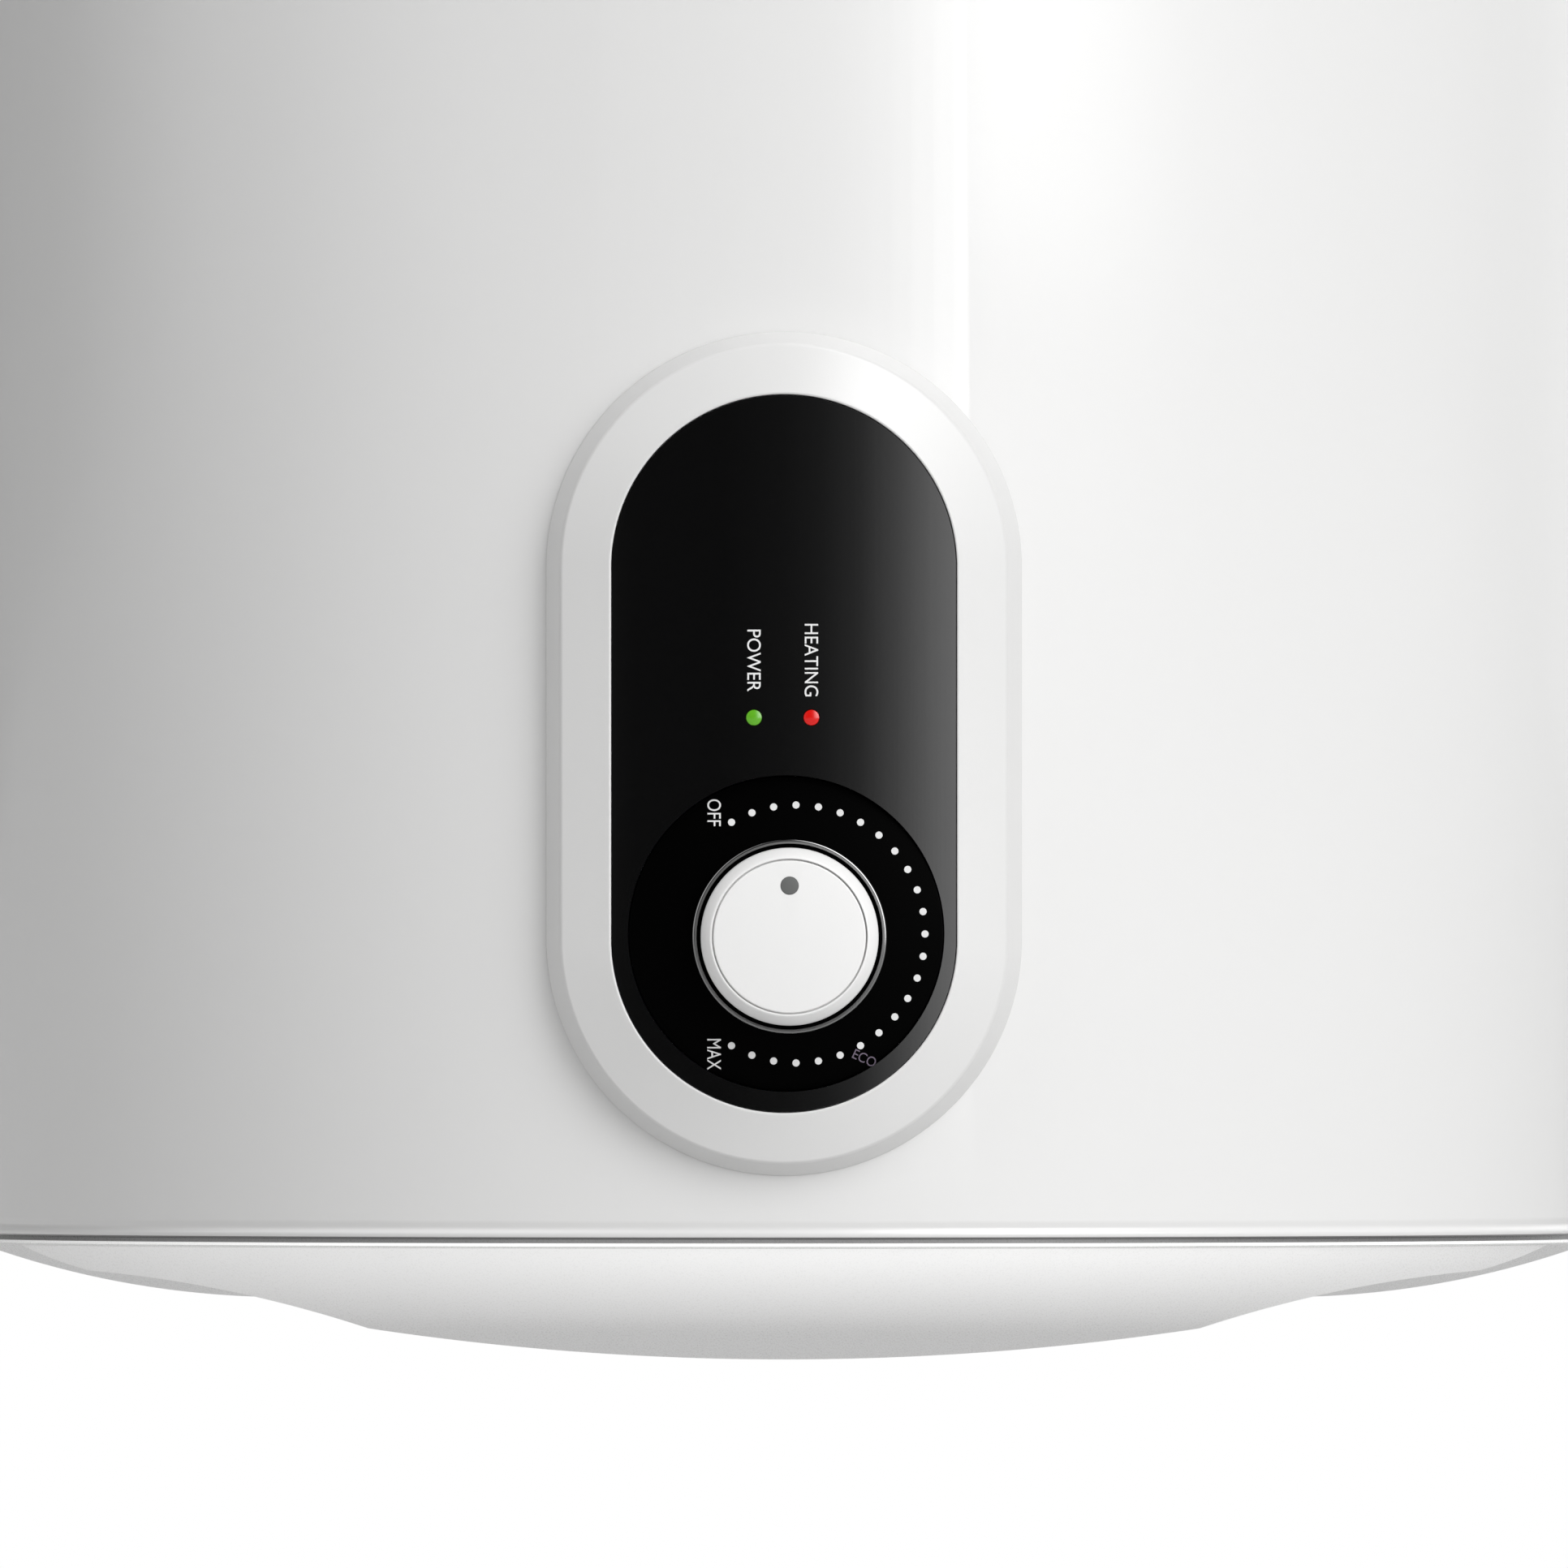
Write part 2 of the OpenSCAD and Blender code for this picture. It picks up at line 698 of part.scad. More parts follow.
// A closed cap that turns the cold water sideways along the tank's floor
module inlet_diffuser() color("ivory") placed() translate([cold_x, pipe_y, cold_z1]) difference() {
    rod(pipe_r + 3, -8, 14);
    rod(pipe_r + shank_gap, -9, 0);
    rod(pipe_bore_r, -1, 11);
    for (a = [0:60:300]) translate([0, 0, 6]) rotate([0, 90, a]) rod(3, pipe_bore_r - 2, pipe_r + 4);
}

module pipe_collar(x) placed() translate([x, pipe_y, 0]) {
    pipe(collar_rim_r, pipe_r + shank_gap, bay_z - 2.5, bay_z);
    pipe(collar_neck_r, pipe_r + shank_gap, bay_z - 1, bay_in_z);
}

module cold_collar() color("royalblue") pipe_collar(cold_x);

module hot_collar() color("red") pipe_collar(hot_x);

module at_gland() placed() translate([0, pipe_y, 0]) children();

module gland_body() color("dimgray") at_gland() difference() {
    union() {
        rod(gland_r, bay_z - 1, bay_in_z + 8);
        translate([0, 0, gland_collar_z]) cylinder(d = 24, h = 5, $fn = 6);
        rod(gland_r + 1, gland_body_z0, gland_collar_z + 1);
    }
    rod(gland_bore_r, -cap_depth, spigot_h);
    rod(seal_r + shank_gap, -cap_depth, gland_collar_z);
}

module gland_locknut() color("dimgray") at_gland()
    hexagon_nut(22, gland_r + shank_gap, bay_in_z, bay_in_z + 4);

module gland_seal() color("black") at_gland() pipe(seal_r, cable_r, dome_lip_z, gland_collar_z - 0.5);

module gland_dome_nut() color("dimgray") at_gland() difference() {
    union() {
        rod(gland_r + 3.5, dome_lip_z, gland_collar_z - fit);
        translate([0, 0, dome_z0])
            cylinder(r1 = gland_bore_r + 2.5, r2 = gland_r + 3.5, h = dome_lip_z - dome_z0);
    }
    rod(gland_bore_r, dome_z0 - 1, dome_lip_z + 1);
    rod(gland_r + 1 + shank_gap, dome_lip_z, gland_collar_z);
}

// ---------- Electrics under the flange ----------

module post_screw_places() for (s = [-1, 1]) translate([s * post_x, post_y + post_w / 2, 0]) children();

module electrics_bracket() color("silver") placed() difference() {
    union() {
        box(-shelf_half, shelf_half, shelf_y0, shelf_y1, shelf_z0, shelf_z1);
        for (s = [-1, 1]) translate([s * post_x - post_w / 2, post_y - shelf_t, 0]) {
            box(0, post_w, 0, shelf_t, shelf_z0, plate_z0);
            box(0, post_w, 0, post_w, plate_z0 - shelf_t, plate_z0);
        }
    }
    post_screw_places() rod(post_screw_r + shank_gap, plate_z0 - 5, plate_z0 + 1);
}

module bracket_screws() color("silver") placed() post_screw_places() {
    rod(post_screw_r, plate_z0 - shelf_t - 1, plate_z1 - 1);
    rod(1.8 * post_screw_r, plate_z0 - shelf_t - 2.2, plate_z0 - shelf_t);
}

module terminal_block() color("ivory") placed() difference() {
    box(block_bores[0] - 6, block_bores[2] + 6, block_y0, block_y1, block_z0, shelf_z0);
    for (x = block_bores) translate([x, 0, 0]) {
        translate([0, block_y1 + 1, bore_z]) rotate([90, 0, 0])
            cylinder(r = wire_r + 0.5, h = block_y1 - block_y0 + 2);
        translate([0, (block_y0 + block_y1) / 2, 0]) rod(1.6, block_z0 - 1, bore_z);
    }
}

module terminal_screws() color("gold") placed() for (x = block_bores)
    translate([x, (block_y0 + block_y1) / 2, 0]) rod(1.5, block_z0 + 0.5, block_z0 + 4);

module earth_screw() color("gold") placed() translate(earth_place) {
    rod(post_screw_r, plate_z0 - 1, plate_z1 - 1);
    rod(2 * post_screw_r, plate_z0 - 1, plate_z0);
    rod(1.7 * post_screw_r, plate_z0 - 3.2, plate_z0 - 0.5);
}

module cutout_body() color("saddlebrown") placed() difference() {
    box(8, 40, block_y0, cutout_y1, cutout_z0, shelf_z0);
    translate(reset_place) {
        rod(reset_r + 0.3, -1, 3);
        rod(reset_r + 1.6, 2.2, 2.2 + 1.5 + reset_stroke + 2.5);
    }
}

module reset_button() color("red") placed() translate(reset_place) {
    rod(reset_r, -2.3, 3);
    rod(reset_r + 1.2, 2.5, 4);
    rod(reset_r - 1, 3, 5.7);
}

// ---------- Wires and capillaries ----------

function unit(v) = v / norm(v);

function bend_point(a, b, c, d, t) = 0.5 * (2 * b + (c - a) * t
    + (2 * a - 5 * b + 4 * c - d) * t * t + (3 * b - a - 3 * c + d) * t * t * t);

// A smooth run through the given points, in steps of a third of each stretch
function smooth_run(p) = let (last = len(p) - 1) concat(
    [for (i = [0:last - 1], k = [0:2])
        bend_point(p[max(i - 1, 0)], p[i], p[i + 1], p[min(i + 2, last)], k / 3)], [p[last]]);

function heading(p, i) = unit(p[min(i + 1, len(p) - 1)] - p[max(i - 1, 0)]);

// A sideways direction for each point, carried along the run without twisting
function sides_of(p, side, i = 0) = i == len(p) ? [] :
    let (h = heading(p, i), s = unit(side - h * (h * side))) concat([s], sides_of(p, s, i + 1));

module tube_along(points, r, side = [1, 0, 0]) {
    n = 8;
    p = smooth_run(points);
    across = sides_of(p, side);
    rings = [for (i = [0:len(p) - 1], k = [0:n - 1]) let (a = 360 * (k + 0.5) / n)
        p[i] + r * (cos(a) * across[i] + sin(a) * cross(heading(p, i), across[i]))];
    top = n * (len(p) - 1);
    walls = [for (i = [0:len(p) - 2], k = [0:n - 1]) let (j = (k + 1) % n)
        [i * n + k, (i + 1) * n + k, (i + 1) * n + j, i * n + j]];
    polyhedron(rings, concat([[for (k = [0:n - 1]) k]], walls,
        [[for (k = [n - 1:-1:0]) top + k]]), convexity = 6);
}

live_run = [[16, -62, -1], [16, -74, 0], [12, -0.57 * duct_s, 4], [6, -0.82 * duct_s, 6],
    [4, 4 - duct_s, 9],
    [3.6, 1 - duct_s, 18], [3.6, 1 - duct_s, 30], [6, 1 - duct_s, therm_z0 - 6], [6, 1 - duct_s, therm_z0]];
load_run = [[-8, 1 - duct_s, therm_z0], [-8, 1 - duct_s, therm_z0 - 6], [-3.6, 1 - duct_s, 30],
    [-3.6, 1 - duct_s, 16], [-5, 5 - duct_s, 7], [-5, 16 - duct_s, 3], [0, -0.77 * duct_s, 2],
    [6, -0.6 * duct_s, 3], [8, -74, 10],
    [12, -56, 11], [14, -44, 12], [22, -28, 13], [26, -12, 14], [24.5, -1.8, 14]];
neutral_run = [[-24, block_y1, bore_z], [-24, -32, 0], [-27, -20, 5], [-26, -8, 11],
    [-24.5, -1.8, 14]];
earth_run = [[-36, block_y1, bore_z], [-37, -30, 0], [-44, -14, 6], [-45, -2, 16],
    [-40, 5.6, plate_z0 - 1.8]];
thermostat_run = [[1.3, -1 - duct_s, therm_z0], [0.6, -1 - duct_s, therm_z0 - 8],
    [0, -2 - duct_s, 30], [0, -2 - duct_s, 16], [0.5, 5 - duct_s, 9.6], [-1, 17 - duct_s, 8.5],
    [-8, -0.77 * duct_s, 8.5], [-12, -0.6 * duct_s, 8.5], [-12, -70, 11], [-12, -40, 13],
    [-12, -25, 15], [-12, -20, 22],
    [-12, -20, 40], [-12, -20, 120]];
cutout_run = [[24, cutout_y1, 0], [24, -30, 2], [18, -23, 8], [12.5, -20, 16], [12, -20, 26],
    [12, -20, 40], [12, -20, 120]];

module wiring() color("brown") placed() for (run = [live_run, load_run, neutral_run, earth_run])
    tube_along(run, wire_r);

// A capillary tube and the bulb at its end, inside a pocket of the flange
module bulb_and_tube(run) placed() {
    tube_along(run, capillary_r);
    translate([run[len(run) - 1][0], pocket_y, 0]) rod(bulb_r, 120, 200);
}

module thermostat_bulb() color("peru") bulb_and_tube(thermostat_run);

module cutout_bulb() color("peru") bulb_and_tube(cutout_run);

module wiring_duct() color("dimgray") placed() translate([0, -duct_s, 0]) {
    pipe(duct_r, duct_r - 1.2, foam_z0 - 1.5, duct_z1);
    pipe(duct_r + 2, duct_r - 1.2, foam_z0 - 1.5, foam_z0);
}

// ---------- Control panel ----------

module housing_screw_places() for (side = [-1, 1], up = [-25, 25])
    placed() translate([0, 0, panel_z + up]) rotate([0, 90, side * housing_screw_a - 90]) children();

module thermostat_posts() for (s = [-1, 1]) on_front(knob_x + s * therm_post_x, knob_z) children();

module board_posts() for (s = [-1, 1]) on_front(lens_mid_x + s * board_post_x, lens_z) children();

module control_housing() color("gainsboro") {
    difference() {
        union() {
            intersection() {
                stadium_column(housing_w, housing_back, casing_r + 30);
                placed() rod(housing_top_r, 0, 2 * panel_z);
            }
            curved_plate(housing_flange_w, casing_r + fit, housing_top_r);
        }
        stadium_column(housing_w - 2 * housing_wall, housing_floor, casing_r + 30);
        placed() translate([0, -duct_s, 0]) rod(duct_r + shank_gap, 0, lower_end_z);
        housing_screw_places() rod(housing_screw_r + shank_gap, tank_r, casing_r + 10);
    }
    thermostat_posts() pipe(3.2, 1.3, housing_floor, therm_s);
    board_posts() pipe(2.6, 1.1, housing_floor, board_s1 - board_t);
}

module housing_screws() color("silver") housing_screw_places() {
    rod(housing_screw_r, casing_in_r, housing_top_r + 0.5);
    rod(2.9, housing_top_r, housing_top_r + 1.8);
}

// Points of a stadium loop of radius(angle), dropped onto a cylinder of radius r round the axis
function loop_angles() = [for (half = [0, 1], i = [0:36]) [5 * i + 180 * half, 1 - 2 * half]];

function on_casing(rho, a, s, r) = let (x = rho * cos(a))
    [x, -sqrt(r * r - x * x), panel_z + s * spine / 2 + rho * sin(a)];

// Radius of the drafted side wall's foot: the wall widens with its height above the casing
function foot_rho(a, rho, n = 4) = n == 0 ? rho :
    let (half = bezel_w / 2, top_s = sqrt(pow(casing_r + bezel_rise, 2) - pow(half * cos(a), 2)),
         foot_s = sqrt(pow(casing_r, 2) - pow(rho * cos(a), 2)))
    foot_rho(a, half + (top_s - foot_s) * tan(bezel_draft), n - 1);

module bezel() color("white") placed() {
    angles = loop_angles();
    n = len(angles);
    half = bezel_w / 2;
    points = [for (q = angles) let (a = q[0], s = q[1], foot = foot_rho(a, half)) each [
        on_casing(foot, a, s, bezel_foot_r),
        on_casing(half, a, s, casing_r + bezel_rise),
        on_casing(bezel_bore, a, s, casing_r + bezel_lip),
        on_casing(bezel_bore, a, s, fascia_back_r - run_gap),
        on_casing(bezel_bore - bezel_ledge, a, s, fascia_back_r - run_gap),
        on_casing(bezel_bore - bezel_ledge, a, s, bezel_shelf_r),
        on_casing(half - 3.2, a, s, bezel_shelf_r),
        on_casing(foot - 2.6, a, s, bezel_foot_r)]];
    m = 8;
    faces = [for (i = [0:n - 1], k = [0:m - 1])
        let (p = i * m + k, q = i * m + (k + 1) % m, i2 = (i + 1) % n,
             p2 = i2 * m + k, q2 = i2 * m + (k + 1) % m)
        each [[p, p2, q2], [p, q2, q]]];
    polyhedron(points, faces, convexity = 6);
}

module lens_places() for (s = [-1, 1]) on_front(lens_mid_x + s * lens_spacing / 2, lens_z) children();

module fascia() color("black") difference() {
    union() {
        curved_plate(fascia_w, fascia_back_r, fascia_r);
        intersection() {
            on_front(dial_x, dial_z) rod(dial_d / 2 + fit + 1.2, dial_back, fascia_r);
            placed() rod(fascia_r, 0, panel_z);
        }
    }
    on_front(dial_x, dial_z) rod(dial_d / 2 + fit, tank_r, fascia_r + 5);
    lens_places() rod(lens_d / 2, tank_r, fascia_r + 5);
}

module dial_plate() color("black") difference() {
    on_front(dial_x, dial_z) rod(dial_d / 2, dial_back, dial_front);
    on_front(knob_x, knob_z) rod(bush_r + 0.5, dial_back - 1, dial_front + 1);
}

module at_knob() on_front(knob_x, knob_z) children();

module trim_ring() color("silver") at_knob() rotate_extrude() {
    translate([ring_r - ring_w, dial_front]) square([ring_w, ring_h - ring_w / 2]);
    translate([ring_r - ring_w / 2, dial_front + ring_h - ring_w / 2]) circle(ring_w / 2);
}

// Spindle section: round, with one flat
module spindle_section(gap, s0, s1) difference() {
    rod(spindle_r + gap, s0, s1);
    translate([-2 * spindle_r, spindle_flat + gap, s0 - 1])
        cube([4 * spindle_r, 2 * spindle_r, s1 - s0 + 2]);
}

module knob() color("white") at_knob() difference() {
    union() {
        difference() {
            union() {
                rod(knob_r, knob_s0, knob_s1 - knob_bevel);
                translate([0, 0, knob_s1 - knob_bevel])
                    cylinder(r1 = knob_r, r2 = face_r + face_groove + 0.5, h = knob_bevel);
            }
            rod(knob_r - 1.8, knob_s0 - 1, web_s0);
        }
        rod(hub_r, knob_s0 + 0.5, web_s0 + 0.1);
    }
    rod(face_r + face_groove, knob_s1 - face_t, knob_s1 + 1);
    spindle_section(shank_gap, knob_s0 - 1, web_s0);
}

module knob_face() color("whitesmoke") at_knob() difference() {
    rod(face_r, knob_s1 - face_t, knob_s1 - 0.1);
    translate([0, marker_r, 0]) rod(marker_d / 2 + run_gap, knob_s1 - 2 * face_t, knob_s1 + 1);
}

module knob_marker() color("gray") at_knob() translate([0, marker_r, 0])
    rod(marker_d / 2, knob_s1 - face_t, knob_s1 - 0.05);

// A split spring ring that grips the hub
module knob_clip() color("silver") at_knob() difference() {
    pipe(hub_r + 0.8, hub_r + run_gap, knob_s0 + 1, knob_s0 + 4);
    translate([-1, 0, knob_s0]) cube([2, 2 * hub_r, 5]);
}

// ---------- Thermostat ----------

module thermostat_spindle() color("silver") at_knob() {
    spindle_section(0, knob_s0, web_s0 - 0.4);
    rod(spindle_r, shoulder_s - 0.5, knob_s0);
    rod(spindle_r + 2, shoulder_s - 2, shoulder_s - 0.3);
    rod(spindle_r - 0.8, shoulder_s - 8.5, shoulder_s - 1);
}

module thermostat_adjuster() color("gold") at_knob()
    pipe(adjuster_room_r - 0.3, spindle_r - 0.4, adjuster_s0, adjuster_s0 + adjuster_h);

module thermostat_body() color("ivory") difference() {
    at_knob() union() {
        box(-therm_half_w, therm_half_w, -therm_half_h, therm_half_h, therm_s - thermostat_t, therm_s);
        rod(bush_r, therm_s - 1, dial_back - 0.3);
    }
    at_knob() {
        rod(spindle_r + run_gap, shoulder_s - 1, dial_front);
        rod(adjuster_room_r, therm_s - 18.5, shoulder_s);
    }
}

module thermostat_bracket() color("silver") difference() {
    at_knob() box(-therm_post_x - 4, therm_post_x + 4, -11, 11, therm_s, therm_s + 1.2);
    at_knob() rod(bush_r + fit, therm_s - 1, dial_front);
    thermostat_posts() rod(1.6, therm_s - 1, dial_front);
}

// ---------- Lamps ----------

module lens(side) on_front(lens_mid_x + side * lens_spacing / 2, lens_z) {
    x = abs(lens_mid_x) + lens_spacing / 2;
    rim_r = lens_d / 2 + 0.9;
    rim_s1 = sqrt(pow(fascia_back_r, 2) - pow(x + rim_r, 2)) - run_gap;
    rod(lens_d / 2 - shank_gap, board_s1 + 5.5, sqrt(fascia_r * fascia_r - x * x) + 0.2);
    rod(rim_r, rim_s1 - 1, rim_s1);
}

module power_lens() color("limegreen") lens(-1);

module heating_lens() color("red") lens(1);

module lamp_board() color("darkgreen") difference() {
    on_front(lens_mid_x, lens_z)
        box(-board_post_x - 4, board_post_x + 4, -7, 7, board_s1 - board_t, board_s1);
    board_posts() rod(1.3, board_s1 - 3, board_s1 + 1);
}

module lamps() color("white") lens_places() {
    rod(1.5, board_s1, board_s1 + 4);
    translate([0, 0, board_s1 + 3.5]) cylinder(r1 = 1.5, r2 = 1, h = 1.5);
}

// ---------- What is drawn ----------

outer_casing();
top_cap();
lower_cap();
cap_screws();
foam_insulation();
tank_shell();
tank_top_head();
tank_bottom_head();
upper_wall_bracket();
lower_wall_bracket();
flange_collar();
flange_studs();
flange_gasket();
flange_plate();
flange_nuts();
heating_element();
element_terminals();
thermostat_well();
cutout_well();
anode_rod();
anode_stud();
cold_inlet_pipe();
inlet_diffuser();
hot_outlet_pipe();
cold_collar();
hot_collar();
gland_body();
gland_locknut();
gland_seal();
gland_dome_nut();
electrics_bracket();
bracket_screws();
terminal_block();
terminal_screws();
earth_screw();
cutout_body();
reset_button();
cutout_bulb();
wiring();
wiring_duct();
control_housing();
housing_screws();
bezel();
fascia();
dial_plate();
trim_ring();
knob();
knob_face();
knob_marker();
knob_clip();
thermostat_spindle();
thermostat_adjuster();
thermostat_body();
thermostat_bracket();
thermostat_bulb();
power_lens();
heating_lens();
lamp_board();
lamps();
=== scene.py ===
"""Looks of the wall-hung tank water heater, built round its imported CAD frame. Everything is in metres."""
import json
from math import asin, atan2, cos, pi, radians, sin, sqrt, tan

import bmesh
import bpy
from mathutils import Matrix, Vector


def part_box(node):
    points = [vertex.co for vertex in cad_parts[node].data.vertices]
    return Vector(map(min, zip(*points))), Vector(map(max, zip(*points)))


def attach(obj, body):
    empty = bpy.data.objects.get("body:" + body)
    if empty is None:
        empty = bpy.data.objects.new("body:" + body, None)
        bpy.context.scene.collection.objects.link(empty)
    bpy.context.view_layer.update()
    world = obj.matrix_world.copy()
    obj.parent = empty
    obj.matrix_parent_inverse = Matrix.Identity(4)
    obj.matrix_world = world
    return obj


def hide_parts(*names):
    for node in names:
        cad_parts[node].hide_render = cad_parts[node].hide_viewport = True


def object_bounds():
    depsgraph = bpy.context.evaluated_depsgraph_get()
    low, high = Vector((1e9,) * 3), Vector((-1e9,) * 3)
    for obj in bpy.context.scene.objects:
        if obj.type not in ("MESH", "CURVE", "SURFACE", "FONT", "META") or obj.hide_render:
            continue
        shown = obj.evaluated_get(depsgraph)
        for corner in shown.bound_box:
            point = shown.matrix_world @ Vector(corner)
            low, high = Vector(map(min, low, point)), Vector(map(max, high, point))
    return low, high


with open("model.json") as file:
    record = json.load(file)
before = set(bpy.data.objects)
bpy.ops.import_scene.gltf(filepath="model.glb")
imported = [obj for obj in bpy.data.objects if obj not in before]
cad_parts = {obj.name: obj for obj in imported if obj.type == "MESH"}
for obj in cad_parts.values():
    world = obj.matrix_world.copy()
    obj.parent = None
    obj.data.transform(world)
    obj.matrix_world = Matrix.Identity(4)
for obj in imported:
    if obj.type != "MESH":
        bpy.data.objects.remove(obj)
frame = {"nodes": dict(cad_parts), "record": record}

cad_low, cad_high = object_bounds()
scene = bpy.context.scene
scene.view_settings.view_transform = "Standard"

# ---------- Places and sizes that the frame gives ----------

MM = 0.001
shell_low, shell_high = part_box("outer_casing")
CASING_R = shell_high.x
AXIS_Y = shell_low.y + CASING_R
SEAM_Z = shell_low.z
CASING_H = shell_high.z - shell_low.z
heater_axis = Matrix.Translation((0, AXIS_Y, SEAM_Z))


def on_front(node):
    """Matrix whose local Z runs out of the panel along a turned node's own axis, from the heater's axis."""
    low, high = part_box(node)
    return Matrix.Translation(((low.x + high.x) / 2, AXIS_Y, (low.z + high.z) / 2)) @ Matrix.Rotation(pi / 2, 4, "X")


def depth_of(node):
    """How far a node's back and front lie from the heater's axis."""
    low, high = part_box(node)
    return AXIS_Y - high.y, AXIS_Y - low.y


def half_width(node):
    low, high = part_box(node)
    return (high.x - low.x) / 2


# ---------- Shader graphs ----------

class Sock:
    """A socket that can be used in sums, differences, products and comparisons."""

    def __init__(self, graph, socket):
        self.graph, self.socket = graph, socket

    def math(self, operation, a, b):
        return self.graph.add("ShaderNodeMath", {"operation": operation}, {0: a, 1: b})

    def __add__(self, other): return self.math("ADD", self, other)
    def __radd__(self, other): return self.math("ADD", other, self)
    def __sub__(self, other): return self.math("SUBTRACT", self, other)
    def __rsub__(self, other): return self.math("SUBTRACT", other, self)
    def __mul__(self, other): return self.math("MULTIPLY", self, other)
    def __rmul__(self, other): return self.math("MULTIPLY", other, self)
    def __truediv__(self, other): return self.math("DIVIDE", self, other)
    def __gt__(self, other): return self.math("GREATER_THAN", self, other)
    def __lt__(self, other): return self.math("LESS_THAN", self, other)


class Graph:
    """Node tree of a material or of the world."""

    def __init__(self, tree):
        self.tree = tree
        tree.nodes.clear()

    def node(self, kind, settings=(), values=()):
        node = self.tree.nodes.new(kind)
        for key, value in dict(settings).items():
            if key == "stops":
                ramp = node.color_ramp
                while len(ramp.elements) < len(value):
                    ramp.elements.new(0.5)
                for element, (place, shade) in zip(ramp.elements, value):
                    element.position = place
                    element.color = shade if hasattr(shade, "__len__") else (shade, shade, shade, 1)
            else:
                setattr(node, key, value)
        for key, value in dict(values).items():
            socket = node.inputs[key]
            if isinstance(value, Sock):
                self.tree.links.new(value.socket, socket)
            else:
                socket.default_value = value
        return node

    def add(self, kind, settings=(), values=(), out=0):
        return Sock(self, self.node(kind, settings, values).outputs[out])

    def noise(self, place, scale, detail=3, roughness=0.55):
        return self.add("ShaderNodeTexNoise", {}, {"Vector": place, "Scale": scale, "Detail": detail,
                                                   "Roughness": roughness})

    def ramp(self, factor, *stops):
        return self.add("ShaderNodeValToRGB", {"stops": stops}, {"Fac": factor})

    def mix(self, factor, a, b):
        return self.add("ShaderNodeMix", {"data_type": "RGBA"}, {0: factor, 6: a, 7: b}, 2)

    def bump(self, height, strength, distance):
        return self.add("ShaderNodeBump", {}, {"Height": height, "Strength": strength, "Distance": distance})


def shade(level, tint=(1, 1, 1)):
    return (level * tint[0], level * tint[1], level * tint[2], 1)


def surface(name, build, **fixed):
    """A material: build(graph, place) gives what varies, and fixed gives the shader's other values."""
    material = bpy.data.materials.new(name)
    material.use_nodes = True
    graph = Graph(material.node_tree)
    place = graph.add("ShaderNodeTexCoord", {}, {}, 3)
    values = {key.replace("_", " "): value for key, value in fixed.items()}
    values.update(build(graph, place))
    shader = graph.add("ShaderNodeBsdfPrincipled", {}, values)
    graph.node("ShaderNodeOutputMaterial", {}, {"Surface": shader})
    return material


# ---------- Finishes ----------

# Noise scales, in waves to the metre
SPRAY_PATCH, SPRAY_CLOUD, SPRAY_RIPPLE = 9, 260, 900
MOULD_GRAIN, MOULD_FLOW = 2600, 22
ROLLED_GRAIN, SPANGLE, STAIN = 120, 160.0, 30
FOAM_CELL, FOAM_SWIRL = 420.0, 14
BOARD_WEAVE, BOARD_TRACK = 900, 110.0
LENS_FLECK = 3000
# Bump heights, in metres
SPRAY_DEPTH, GRAIN_DEPTH, ROLL_DEPTH, CELL_DEPTH = 0.0002, 0.0001, 0.0002, 0.001
# Painted shade in the joint between the casing and a cap: how far it darkens the colour, and the grey it darkens to
GAP_SHADE_AMOUNT, GAP_SHADE_GREY = 0.9, 0.12


def orange_peel(graph, place, strength):
    """The faint waviness of sprayed gloss."""
    height = graph.noise(place, SPRAY_RIPPLE, 2) * 0.4 + graph.noise(place, SPRAY_RIPPLE / 6, 2)
    return graph.bump(height, strength, SPRAY_DEPTH)


def painted_gap_shade_mask(graph, place, low, high):
    """1 inside the joint between the casing and a cap, where shade is painted into the colour, by height above the
    lower edge.
    """
    z = graph.add("ShaderNodeSeparateXYZ", {}, {"Vector": place}, 2)
    return (z > SEAM_Z + low * MM) * (z < SEAM_Z + high * MM)


def enamelled(level, tint, rough, strength=0.05, shaded_band=None):
    """Sprayed gloss with a slight patchiness, and painted shade in the joint where a shaded band is given."""
    def build(graph, place):
        patch = graph.noise(place, SPRAY_PATCH, 4)
        cloud = graph.noise(place, SPRAY_CLOUD, 2)
        colour = graph.mix(patch, shade(level * 0.985, tint), shade(level * 1.01, tint))
        # Painted shade: in the joint the colour darkens towards a dark grey
        if shaded_band:
            colour = graph.mix(painted_gap_shade_mask(graph, place, *shaded_band) * GAP_SHADE_AMOUNT, colour, shade(GAP_SHADE_GREY))
        return {"Base Color": colour, "Roughness": rough + 0.05 * cloud,
                "Normal": orange_peel(graph, place, strength)}
    return build


def moulded(level, tint, rough, grain=0.12, shaded_band=None):
    """Satin moulding with a fine spark-eroded grain, and painted shade in the joint where a shaded band is given."""
    def build(graph, place):
        fine = graph.noise(place, MOULD_GRAIN, 3)
        flow = graph.noise(place, MOULD_FLOW, 3)
        colour = graph.mix(flow, shade(level * 0.98, tint), shade(min(1, level * 1.015), tint))
        # Painted shade: in the joint the colour darkens towards a dark grey
        if shaded_band:
            colour = graph.mix(painted_gap_shade_mask(graph, place, *shaded_band) * GAP_SHADE_AMOUNT, colour, shade(GAP_SHADE_GREY))
        return {"Base Color": colour, "Roughness": rough + 0.08 * fine,
                "Normal": graph.bump(fine, grain, GRAIN_DEPTH)}
    return build


